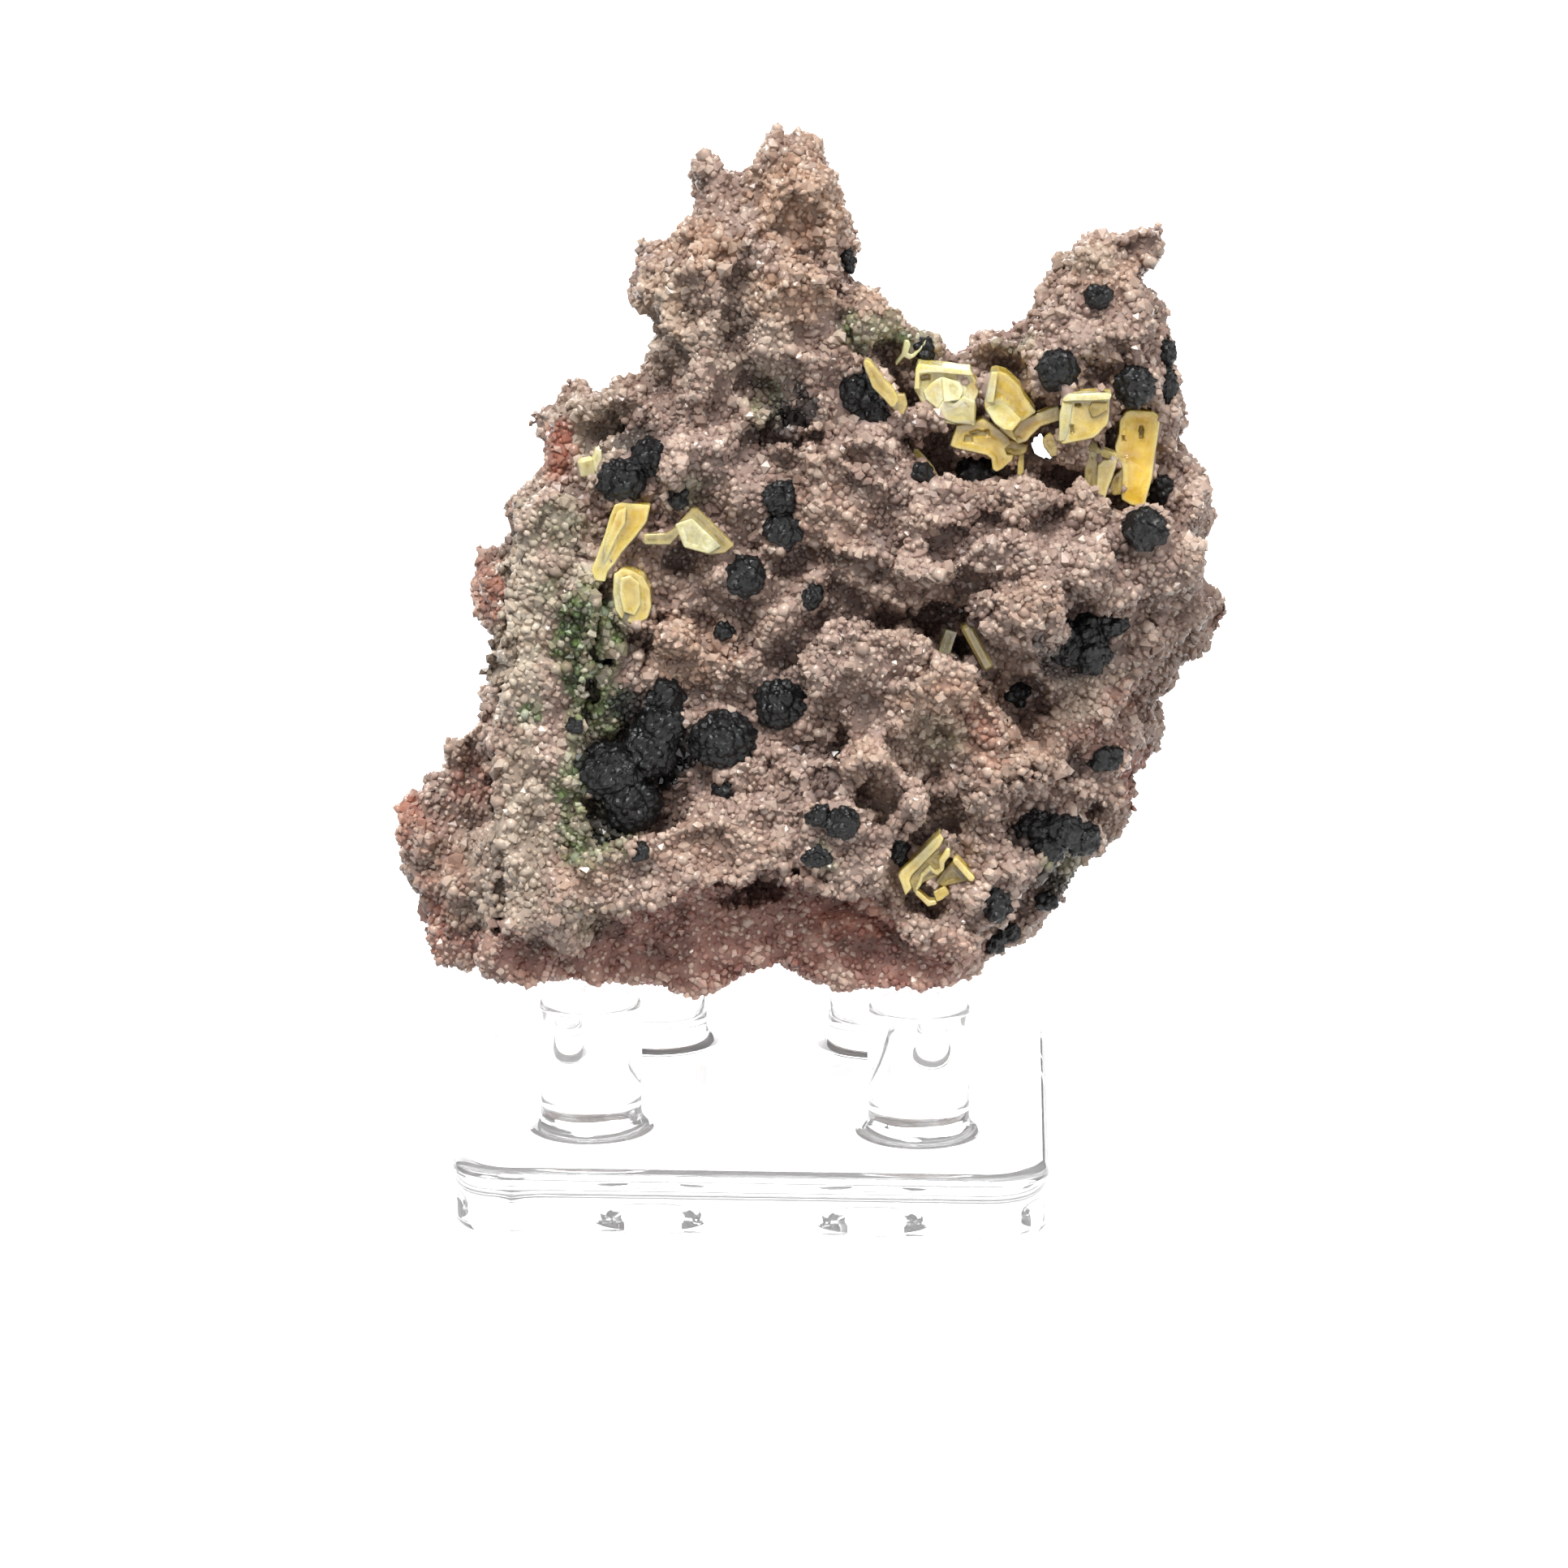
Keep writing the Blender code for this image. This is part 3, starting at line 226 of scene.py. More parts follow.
        (-6.0, 0.8, 0.0, 0.0, 0.8, [
            (10.6, 62.0), (11.2, 62.0), (11.4, 61.2), (11.1, 60.4), (10.7, 60.5), (10.1, 61.0),
            (10.4, 61.6)]),
    ],
    "wulfenite_terrace_group": [
        (-9.4, 1.8, 0.05, 0.05, 0.0, [
            (14.2, 26.9), (14.5, 26.5), (14.2, 25.9), (12.0, 23.5), (11.8, 23.0), (12.0, 22.4), (11.5, 21.8),
            (11.2, 22.7), (10.9, 23.4), (11.1, 23.8), (12.4, 25.1), (13.6, 26.4)]),
        (-9.0, 0.9, 0.10, 0.10, 0.9, [
            (14.5, 26.6), (15.0, 25.7), (14.6, 24.8), (14.2, 23.5), (12.9, 22.9), (12.2, 22.0), (11.8, 23.0),
            (12.0, 23.5), (14.1, 25.8)]),
        (-9.4, 1.2, 0.0, 0.0, 0.1, [
            (15.0, 25.7), (15.0, 25.1), (14.6, 24.6), (14.5, 23.9), (14.0, 23.5), (13.6, 23.7), (13.5, 23.9),
            (12.9, 23.3), (12.7, 22.6), (12.3, 22.1), (12.2, 22.3), (12.5, 22.9), (12.7, 23.6), (13.4, 24.3),
            (13.8, 23.9), (14.2, 24.0), (14.1, 24.7), (14.4, 25.2), (14.7, 25.7)]),
        (-9.3, 1.6, 0.0, 0.0, 0.2, [
            (15.3, 24.9), (15.6, 24.9), (17.0, 23.3), (16.8, 23.0), (16.5, 23.1), (15.2, 24.6)]),
        (-8.6, 0.8, 0.0, 0.20, 1.0, [
            (15.2, 24.7), (16.6, 23.1), (15.2, 22.8), (14.4, 22.6), (13.8, 22.9), (14.4, 23.8)]),
        (-9.4, 1.2, 0.0, 0.0, 0.1, [
            (12.2, 22.4), (12.5, 22.2), (13.4, 21.4), (13.9, 21.4), (14.0, 21.1), (13.3, 20.9),
            (12.3, 21.9)]),
        (-9.2, 1.2, 0.1, 0.2, 0.4, [(13.7, 22.1), (14.6, 22.6), (15.0, 22.0), (14.4, 21.5), (14.0, 21.3)]),
    ],
}
PLATE_WEAR = 0.07
KIND_OF = {
    "wulfenite_left_barrel": "honey",
    "wulfenite_notch_blade": "honey",
    "wulfenite_recess_needle": "honey",
    "wulfenite_crevice_blade": "honey",
    "wulfenite_crevice_chip": "pale",
    "wulfenite_left_pale_group": "pale",
    # Its grey is partly the crystal's colour and partly painted reflection on its clear face.
    "wulfenite_left_tablet": "grey_painted_reflection",
    "wulfenite_row_prism": "golden",
    "wulfenite_notch_sprig": "pale",
    "wulfenite_row_slender": "honey",
}
# Milky parts of the crystals, and painted highlights: the barrel's white strip at (-11.1, 46.0) and the
# link's top at (22.4, 60.8). (x, z, half width, half height, strength)
MILKY_AND_PAINTED_HIGHLIGHTS = [
    (-11.1, 46.0, 0.3, 1.6, 1.0), (-5.0, 50.8, 1.5, 1.5, 1.0), (-12.0, 48.2, 0.8, 1.4, 0.4),
    (14.2, 62.0, 2.6, 2.6, 1.0), (18.6, 60.4, 1.4, 1.2, 0.6), (22.4, 60.8, 1.8, 0.8, 0.6),
    (26.8, 56.6, 2.0, 2.6, 0.3), (17.7, 62.6, 0.5, 1.6, 0.8), (25.2, 61.9, 2.4, 0.5, 0.8),
    (-12.9, 56.4, 1.8, 2.2, 1.0), (14.6, 42.5, 1.0, 1.4, 1.0),
    (-5.0, 51.2, 1.6, 1.8, 0.9), (24.0, 60.4, 1.4, 2.0, 0.3), (13.0, 26.2, 0.9, 2.4, 0.5),
]

# The stand, mm
PEG_RADIUS = 4.0
PEG_EDGE = 0.35
FLARE_HEIGHT = 1.3
PLATE_CORNER = 5.0
PLATE_EDGE = 1.2
CLEARNESS = 0.9  # the rest is the faint haze of handled acrylic
ACRYLIC_IOR = 1.49

SWELL = 0.15  # how far the balls swell beyond the CAD's, and these clusters more
SWELL_OF = {"black_ball_chain": 0.6, "black_ball_corner_cluster": 0.35, "black_ball_right_cluster": 0.3}
BALL_VOXEL = 0.15
SINGLE_BALLS = (12, 42)  # how many corners the CAD's single balls have
BALL_LUMPS = ((1.1, 0.3), (0.6, 0.5))  # width and height of the balls' rough faces, mm

# The grains of the druse, mm
GRAIN_SIZES = ((0.43, 0.25, 0.50), (1.8, 0.42, 0.60))  # spacing, least and greatest radius
ROUNDED_GRAINS = 0.4  # the share of grains with soft shading
GRAIN_WAIST = 0.45  # how high above and below a grain's middle its square rings lie
GRAIN_PIECES = 4
GRAIN_CLEAR = 0.15  # how far the least grains keep from the balls and crystals
GRAIN_SUNK = 0.12  # how deep a grain of radius 1 has its middle

ROUND_NODES = sorted(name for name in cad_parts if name.startswith("black_ball"))
CRYSTAL_NODES = sorted(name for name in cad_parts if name.startswith("wulfenite"))
STAND_NODES = ["display_base", "peg_front_left", "peg_front_right", "peg_back_left", "peg_back_right"]

# Patches of colour on the rock's front: (x, z, half width, half height, strength)
GREEN = [
    (-12.4, 42.4, 2.2, 4.0, 1.0), (-12.0, 36.8, 1.8, 2.4, 1.0), (-12.4, 27.6, 1.4, 2.4, 0.8),
    (-14.0, 44.2, 1.9, 3.0, 1.0), (-13.2, 39.0, 2.2, 3.2, 1.0), (-14.6, 41.6, 2.0, 2.0, 0.9),
    (-13.9, 34.6, 1.6, 2.6, 0.7), (-18.1, 36.4, 0.9, 0.9, 0.9), (-14.8, 30.6, 1.6, 2.6, 0.9),
    (-13.4, 26.4, 3.2, 2.4, 0.9), (-16.4, 46.8, 1.3, 1.6, 0.4), (-15.6, 51.6, 2.6, 2.2, 0.35),
    (8.8, 66.9, 2.6, 1.5, 0.8), (12.2, 66.0, 1.6, 1.4, 0.8), (24.2, 24.6, 2.0, 2.2, 0.7),
    (4.6, 24.9, 1.3, 1.1, 0.6), (0.6, 61.2, 1.2, 2.0, 0.6), (-5.2, 53.8, 0.9, 1.2, 0.5),
    (13.6, 34.6, 2.0, 1.6, 0.35), (-13.6, 19.8, 2.4, 1.4, 0.35), (19.4, 66.4, 1.6, 0.9, 0.5),
]
PALE = [
    (-19.2, 44.0, 2.6, 9.0, 0.9), (-19.0, 27.0, 2.4, 9.0, 0.7), (-16.0, 51.6, 3.4, 2.4, 0.6),
    (-14.0, 59.5, 3.6, 3.0, 0.55), (-7.2, 68.0, 3.0, 4.4, 0.4), (-1.0, 66.0, 3.4, 4.0, 0.3),
    (-24.2, 22.4, 3.0, 4.6, 0.5),
    (-14.2, 47.4, 1.3, 1.4, 0.9), (-12.9, 56.4, 1.4, 1.6, 0.6), (13.8, 34.0, 3.4, 2.2, 0.25),
    (26.4, 38.0, 3.4, 2.6, 0.4), (24.6, 72.6, 2.6, 1.6, 0.5), (0.6, 63.6, 1.6, 1.2, 0.5),
]
TAN = [
    (3.0, 77.0, 3.6, 4.6, 1.0), (-4.6, 73.4, 3.0, 2.4, 0.9), (-7.4, 69.6, 2.4, 3.6, 0.7),
    (3.0, 69.6, 3.6, 2.4, 0.9), (8.4, 68.6, 1.8, 1.6, 0.7), (14.6, 37.0, 4.4, 3.2, 0.7),
    (-5.4, 41.4, 4.0, 3.0, 0.7), (25.6, 71.6, 3.4, 2.6, 0.5), (18.0, 34.6, 2.6, 2.6, 0.6),
    (-4.0, 25.6, 5.0, 2.4, 0.3), (8.6, 32.6, 2.6, 2.4, 0.4), (21.6, 33.0, 3.0, 2.6, 0.5),
    (4.6, 52.4, 3.0, 4.4, 0.35), (20.4, 45.4, 3.0, 2.6, 0.3), (-14.0, 24.0, 3.0, 3.0, 0.5),
]
RED = [
    (-16.0, 57.6, 1.5, 2.4, 1.0), (-28.2, 28.0, 1.4, 2.6, 1.0), (7.0, 19.6, 3.4, 1.9, 0.95),
    (-21.8, 46.2, 1.8, 3.0, 0.8), (30.0, 31.0, 1.6, 2.4, 0.9), (26.6, 34.6, 2.4, 1.9, 0.35),
    (-25.6, 23.0, 2.6, 4.2, 0.45), (17.6, 35.0, 1.8, 2.4, 0.45), (-27.0, 18.0, 2.0, 2.6, 0.8),
    (15.2, 17.2, 2.4, 1.4, 0.5), (28.6, 38.0, 1.6, 1.6, 0.5), (-23.0, 30.6, 2.0, 2.0, 0.5),
]
# Where black grains spread from the balls
BLACK = [
    (-5.9, 34.2, 1.1, 2.0, 1.0), (-7.4, 31.6, 1.4, 1.8, 1.0), (-9.6, 35.8, 1.6, 2.4, 0.9),
    (-13.4, 32.4, 1.2, 1.4, 0.9),
    (-12.4, 27.4, 1.3, 1.8, 0.9), (24.6, 40.8, 2.6, 1.6, 0.8), (22.4, 27.0, 2.4, 1.4, 0.8),
    (23.6, 22.6, 2.4, 1.2, 0.8),
    (3.6, 61.0, 1.8, 1.4, 0.9), (-9.2, 58.6, 1.8, 1.4, 0.8), (1.6, 60.6, 0.8, 2.2, 0.7),
]
# The upper edge of the broken band along the foot: (x, z)
BAND_TOP = [
    (-30.0, 17.9), (-22.0, 18.6), (-19.2, 18.2), (-18.2, 16.6), (-14.4, 16.6), (-13.4, 19.4), (-12.0, 19.9),
    (-9.0, 20.7), (-5.0, 22.2), (0.0, 22.9),
    (3.0, 23.0), (5.5, 22.0), (9.0, 21.4), (11.0, 18.6), (14.0, 16.4), (20.0, 14.4), (40.0, 14.4),
]
# Ribs and ledges of the front: how far it rises left and right of the line, the half width, and
# the line's (x, z) points
EDGES = [
    (0.8, 0.8, 0.7, [(-0.8, 74.4), (-1.9, 72.2), (-3.7, 67.5), (-4.0, 64.0), (-4.6, 60.0), (-6.1, 55.9),
        (-8.3, 54.5)]),
    (-0.6, 0.8, 1.1, [(0.2, 70.9), (2.0, 71.8), (4.0, 72.0), (5.6, 70.6)]),
    (-0.4, 0.6, 0.9, [(-6.4, 71.8), (-4.4, 72.6), (-2.6, 72.2)]),
    (-0.5, 0.9, 1.4, [(1.0, 58.0), (3.4, 58.3), (7.0, 56.6), (9.8, 55.2)]),
    (0.9, -0.9, 1.0, [(0.4, 59.3), (3.8, 59.0)]),
    (0.9, -0.9, 1.3, [(6.4, 49.4), (9.2, 49.0), (10.6, 47.8), (12.4, 47.0)]),
    (0.5, -1.5, 1.1, [(9.6, 45.4), (14.6, 44.6), (17.0, 45.2)]),
    (-0.9, 0.9, 1.2, [(2.6, 40.6), (5.4, 43.6), (8.8, 43.1), (11.2, 44.1), (13.0, 43.4), (13.8, 42.0)]),
    (-0.8, 0.7, 1.1, [(11.6, 39.5), (14.4, 41.0), (16.4, 41.2), (17.6, 39.4), (19.8, 36.0), (19.4, 34.4)]),
    (0.8, 0.8, 1.0, [(12.6, 31.4), (10.6, 28.0)]),
    (-0.7, 0.6, 1.0, [(16.6, 30.0), (19.8, 31.0), (24.0, 31.6)]),
    (-0.6, 0.4, 1.0, [(-19.6, 50.0), (-20.0, 44.0), (-21.0, 38.4), (-21.6, 35.0), (-21.2, 30.0),
        (-21.0, 20.0)]),
    (0.4, -0.4, 0.8, [(-13.6, 19.6), (-10.0, 20.4), (-7.6, 21.1), (-3.8, 22.4), (-1.0, 22.6), (1.6, 23.2)]),
    (0.3, -2.2, 0.8, [(-2.2, 22.3), (0.0, 22.7), (1.8, 23.2)]),
    (0.4, -0.4, 0.9, [(-21.0, 18.9), (-17.0, 18.0), (-14.0, 18.8)]),
    (0.6, -0.6, 0.9, [(3.6, 22.0), (8.0, 21.0), (10.0, 19.4), (12.4, 16.8)]),
    (0.5, -0.6, 0.8, [(-24.6, 18.4), (-22.4, 19.2), (-20.4, 18.6)]),
    (0.7, -0.6, 1.0, [(-9.2, 41.0), (-8.6, 44.0), (-5.0, 45.0), (-2.4, 43.0)]),
    (0.6, 0.6, 0.9, [(31.0, 43.2), (34.0, 44.0), (36.2, 45.6)]),
    (0.5, -0.8, 1.0, [(18.0, 52.6), (21.0, 52.0), (23.4, 53.4)]),
    (0.6, -0.7, 1.0, [(24.0, 65.0), (26.6, 64.2), (29.4, 64.6)]),
]
# Where the form is pushed out, or in: (x, z, reach, push)
PUSHED = [
    (-6.4, 78.0, 1.6, -1.0), (-2.4, 79.6, 1.2, -0.6), (0.0, 82.0, 1.2, -0.7), (4.0, 81.8, 1.3, 0.7),
    (-5.9, 75.7, 1.2, -0.7), (-9.8, 73.6, 2.0, -0.4), (-8.7, 67.0, 1.2, -0.5), (-12.2, 63.2, 1.4, -0.6),
    (-16.6, 61.4, 2.0, -0.8), (-20.8, 50.6, 1.4, -1.2), (-22.2, 48.6, 1.4, -0.6), (-21.0, 41.0, 2.0, -0.5),
    (-22.0, 36.0, 1.6, -0.7), (-24.5, 33.4, 1.2, 0.8), (-26.8, 20.5, 2.0, -0.9), (-23.9, 15.3, 1.6, 1.1),
    (-16.0, 14.6, 1.6, 0.4), (-9.6, 14.6, 1.6, 0.5), (7.4, 71.3, 1.3, -0.9), (10.0, 69.5, 1.3, -0.6),
    (15.3, 65.5, 1.2, -0.8), (19.4, 68.4, 2.0, -0.9), (21.4, 73.0, 2.2, -1.5), (29.0, 74.6, 1.4, -0.5),
    (32.2, 66.6, 1.8, -0.8), (32.6, 60.4, 1.4, 0.6), (34.3, 56.2, 1.4, 0.4), (37.6, 46.4, 2.4, -1.6),
    (35.9, 43.8, 1.4, -0.7), (33.6, 40.4, 1.5, -0.9), (31.8, 37.2, 1.5, -1.0), (30.6, 34.0, 1.4, -0.6),
    (23.9, 21.2, 1.6, -1.1), (17.0, 15.6, 2.0, 0.6), (0.0, 14.6, 3.0, -0.8),
]
# Hollows that are filled: (x, z, half width, half height, strength)
FILLED = [
    (1.3, 31.4, 3.0, 2.0, 1.0), (9.0, 29.8, 2.6, 2.4, 1.0), (4.9, 35.8, 2.6, 2.2, 1.0),
    (13.6, 32.8, 2.4, 2.2, 0.8),
]
# Where the front is raised toward the eye, or sunk: (x, z, half width, half height, rise)
RAISED = [
    (-11.9, 41.0, 1.6, 6.0, 2.6), (-12.2, 27.0, 1.6, 4.0, 1.8), (-1.4, 31.8, 2.4, 1.4, 1.3),
    (-16.2, 17.9, 1.7, 1.5, 1.5),
    (1.3, 31.5, 2.2, 1.4, 1.2), (9.0, 29.8, 1.6, 1.6, 1.4), (4.9, 35.6, 1.8, 1.6, 0.8),
    (-17.6, 20.2, 3.0, 1.6, 0.6),
]
BROKEN_BEHIND = (3.0, 9.0)  # the broken back begins and is complete at these depths


def plain(name, mesh):
    obj = bpy.data.objects.new(name, mesh)
    bpy.context.scene.collection.objects.link(obj)
    return obj


def mesh_of(bm, name="mesh"):
    mesh = bpy.data.meshes.new(name)
    bm.to_mesh(mesh)
    bm.free()
    return mesh


def node_bmesh(name):
    """A welded copy of a CAD node, in millimetres, with flat faces made whole again."""
    bm = bmesh.new()
    bm.from_mesh(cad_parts[name].data)
    bmesh.ops.scale(bm, vec=(1 / MM,) * 3, verts=bm.verts)
    bmesh.ops.remove_doubles(bm, verts=bm.verts, dist=0.002)
    bmesh.ops.recalc_face_normals(bm, faces=bm.faces)
    return bm


def evaluated(obj):
    """The object's mesh with its modifiers applied. The object is removed."""
    graph = bpy.context.evaluated_depsgraph_get()
    graph.update()
    mesh = bpy.data.meshes.new_from_object(obj.evaluated_get(graph))
    bpy.data.objects.remove(obj)
    return mesh


def remeshed(mesh, voxel, smooth=0):
    obj = plain("to_remesh", mesh)
    remesh = obj.modifiers.new("remesh", "REMESH")
    remesh.mode = "VOXEL"
    remesh.voxel_size = voxel
    if smooth:
        soften = obj.modifiers.new("soften", "SMOOTH")
        soften.iterations = smooth
    return evaluated(obj)


def points_of(mesh):
    points = np.empty(len(mesh.vertices) * 3)
    mesh.vertices.foreach_get("co", points)
    return points.reshape(-1, 3)


def normals_of(mesh):
    normals = np.empty(len(mesh.vertices) * 3)
    mesh.vertices.foreach_get("normal", normals)
    return normals.reshape(-1, 3)


def set_points(mesh, points):
    mesh.vertices.foreach_set("co", points.ravel())
    mesh.update()


def mesh_from_arrays(name, points, triangles):
    mesh = bpy.data.meshes.new(name)
    mesh.vertices.add(len(points))
    mesh.vertices.foreach_set("co", points.astype(np.float32).ravel())
    mesh.loops.add(3 * len(triangles))
    mesh.loops.foreach_set("vertex_index", triangles.astype(np.int32).ravel())
    mesh.polygons.add(len(triangles))
    mesh.polygons.foreach_set("loop_start", np.arange(0, 3 * len(triangles), 3, dtype=np.int32))
    mesh.update(calc_edges=True)
    mesh.shade_flat()
    return mesh


def set_attribute(mesh, name, values):
    layer = mesh.attributes.new(name, "FLOAT", "POINT")
    layer.data.foreach_set("value", np.asarray(values, np.float32))


def finish_piece(name, mesh, material, nodes):
    """The mesh as a piece in metres that stands for these CAD nodes."""
    mesh.transform(Matrix.Scale(MM, 4))
    mesh.materials.clear()
    mesh.materials.append(material)
    piece = plain(name, mesh)
    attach(piece, "root")
    if nodes:
        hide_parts(*nodes)
    return piece


def share(values, start, end):
    """0 at start and before it, 1 at end and beyond, and smooth between."""
    t = np.clip((values - start) / (end - start), 0.0, 1.0)
    return t * t * (3 - 2 * t)


def noise_at(points, grain, shift=0.0):
    return np.array([noise.noise(Vector(p) / grain + Vector((shift,) * 3)) for p in points])


def cells_at(points, width):
    """How far each point is from the middle of its cell, 0 to about 1."""
    return np.array([noise.voronoi(Vector(p) / width)[0][0] for p in points])


def blocks_at(points, width):
    """The height, about -1 to 1, of flat faces about this wide that are tilted at random."""
    heights = np.empty(len(points))
    for index, point in enumerate(points / width):
        middle = noise.voronoi(Vector(point))[1][0]
        tilt = noise.cell_vector(middle * 7.3) * 2 - Vector((1, 1, 1))
        heights[index] = tilt.dot(Vector(point) - middle) + 0.6 * tilt.z
    return heights


def seen_from_eye(points):
    """(x, z) on the plane y = 0 where each point is seen."""
    scale = -EYE.y / (points[:, 1] - EYE.y)
    return EYE.x + (points[:, 0] - EYE.x) * scale, EYE.z + (points[:, 2] - EYE.z) * scale


def patches_at(points, patches, ragged):
    """How strongly each point lies in the patches, whose edges are made ragged."""
    x, z = seen_from_eye(points)
    total = np.zeros(len(points))
    for middle_x, middle_z, wide, high, strength in patches:
        away = np.hypot((x - middle_x) / wide, (z - middle_z) / high) + ragged
        total = np.maximum(total, strength * (1 - share(away, 0.75, 1.25)))
    return total * (1 - share(points[:, 1], 4.0, 9.0))


def zones_of(points):
    """The share of each kind of surface at the points, by name."""
    ragged = 0.45 * noise_at(points, 2.2) + 0.35 * noise_at(points, 0.8, 5.0)
    x, z = seen_from_eye(points)
    band = np.interp(x, *zip(*BAND_TOP)) + 1.2 * ragged
    foot = 1 - share(z, band - 0.4, band + 0.4)
    behind = share(points[:, 1] + 3 * ragged, *BROKEN_BEHIND)
    broken = np.maximum(foot, behind)
    return {
        "broken": broken,
        "behind": behind,
        "green": patches_at(points, GREEN, ragged),
        "pale": patches_at(points, PALE, ragged),
        "tan": patches_at(points, TAN, ragged),
        "black": patches_at(points, BLACK, 1.6 * ragged),
        "red": np.maximum(patches_at(points, RED, ragged), 0.3 * foot),
    }


def set_zones(mesh, zones):
    for name, values in zones.items():
        set_attribute(mesh, name, values)


# The rock

def uncovered(points, pieces, drawn, rock):
    """How far beyond each point, seen from EYE, a piece lies that is drawn or in view."""
    beyond = np.zeros(len(points))
    for index, point in enumerate(points):
        sight = Vector(point) - EYE
        away = sight.length
        sight.normalize()
        piece = pieces.ray_cast(EYE, sight)[3]
        if piece is not None and away < piece + SIGHT_REACH:
            covered = None if drawn.ray_cast(EYE, sight)[0] else rock.ray_cast(EYE, sight)[3]
            if covered is None or piece < covered:
                beyond[index] = piece - away
    return beyond


def drawn_bmesh(plates):
    """Upright plates with outlines as they look from EYE."""
    bm = bmesh.new()
    olive_layer = bm.verts.layers.float.new("olive")
    for front, thick, lean_x, lean_z, olive, outline in plates:
        middle_x, middle_z = np.mean(outline, axis=0)
        near = []
        for x, z in outline:
            y = front + lean_x * (x - middle_x) + lean_z * (z - middle_z)
            near.append(bm.verts.new(EYE + (Vector((x, 0, z)) - EYE) * ((y - EYE.y) / -EYE.y)))
        far = [bm.verts.new(vert.co + Vector((0, thick, 0))) for vert in near]
        for vert in near + far:
            vert[olive_layer] = olive
        bm.faces.new(near)
        bm.faces.new(far)
        for i, vert in enumerate(near):
            bm.faces.new((near[i - 1], vert, far[i], far[i - 1]))
    bmesh.ops.recalc_face_normals(bm, faces=bm.faces)
    bmesh.ops.bevel(
        bm, geom=bm.edges[:], offset=PLATE_WEAR, segments=1, affect="EDGES", clamp_overlap=True
    )
    return bm


def shape_bmesh(name):
    """The drawn plates of the node, or else its CAD shape."""
    return drawn_bmesh(DRAWN[name]) if name in DRAWN else node_bmesh(name)


def tree_of(names):
    """These nodes' shapes as one search tree."""
    bm = bmesh.new()
    for name in names:
        bm.from_mesh(mesh_of(shape_bmesh(name)))
    tree = BVHTree.FromBMesh(bm)
    bm.free()
    return tree


def search_trees():
    """The trees of the balls and crystals, of the drawn crystals and of the CAD rock."""
    return tree_of(ROUND_NODES + CRYSTAL_NODES), tree_of(DRAWN), tree_of(["matrix"])


def nearest_on(tree, points):
    """For each point the nearest place on the tree, the normal there and the distance, less than 0 inside."""
    places, normals = np.empty_like(points), np.empty_like(points)
    away = np.empty(len(points))
    for index, point in enumerate(points):
        place, normal, _, distance = tree.find_nearest(Vector(point))
        places[index], normals[index] = place, normal
        away[index] = distance if (Vector(point) - place).dot(normal) > 0 else -distance
    return places, normals, away


def rock_stock():
    """The CAD rock with the pockets behind its balls and crystals filled."""
    bm = node_bmesh("matrix")
    for name in ROUND_NODES + CRYSTAL_NODES:
        low, high = (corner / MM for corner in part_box(name))
        middle = (low + high) / 2
        grow = 1 + FILL_GROWTH / (min(high - low) / 2)
        back = FILL_BACK
        if name in CRYSTAL_NODES:
            grow, back = 0.92, 0.0
        copy = node_bmesh(name)
        placed = Matrix.Translation(middle + (middle - EYE).normalized() * back)
        placed @= Matrix.Scale(grow, 4) @ Matrix.Translation(-middle)
        bmesh.ops.transform(copy, matrix=placed, verts=copy.verts)
        bm.from_mesh(mesh_of(copy))
    return mesh_of(bm, "rock_stock")


def neighbours_of(mesh):
    """The two ends of every edge."""
    ends = np.empty(len(mesh.edges) * 2, np.int64)
    mesh.edges.foreach_get("vertices", ends)
    return ends.reshape(-1, 2).T


def smoothed(values, ends, rounds):
    """The values averaged with their neighbours' this many times."""
    start, end = ends
    count = np.bincount(start, minlength=len(values)) + np.bincount(end, minlength=len(values))
    for _ in range(rounds):
        total = np.stack([
            np.bincount(start, column[end], len(values)) + np.bincount(end, column[start], len(values))
            for column in values.T
        ], axis=1)
        values = (values + total / count[:, None]) / 2
    return values


def line_at(x, z, line):
    """How far each place is from the line, and whether it is on its left."""
    nearest, left = np.full(len(x), np.inf), np.zeros(len(x), bool)
    for (x0, z0), (x1, z1) in zip(line, line[1:]):
        long_x, long_z = x1 - x0, z1 - z0
        along = np.clip(((x - x0) * long_x + (z - z0) * long_z) / (long_x**2 + long_z**2), 0, 1)
        away = np.hypot(x - x0 - along * long_x, z - z0 - along * long_z)
        closer = away < nearest
        nearest = np.where(closer, away, nearest)
        left = np.where(closer, long_x * (z - z0) - long_z * (x - x0) > 0, left)
    return nearest, left


def in_gap(points, margin):
    """The points seen in the light gap or less than the margin, mm, from it."""
    x, z = seen_from_eye(points)
    inside = np.zeros(len(points), bool)
    for (x0, z0), (x1, z1) in zip(LIGHT_GAP, LIGHT_GAP[1:]):
        inside ^= ((z0 > z) != (z1 > z)) & (x < x0 + (z - z0) * (x1 - x0) / (z1 - z0))
    return inside | (line_at(x, z, LIGHT_GAP)[0] < margin)


def pushed_at(points):
    """How far the outline is pushed out or in at each point."""
    x, z = seen_from_eye(points)
    return sum(push * np.exp(-((x - middle_x) ** 2 + (z - middle_z) ** 2) / reach**2)
               for middle_x, middle_z, reach, push in PUSHED)


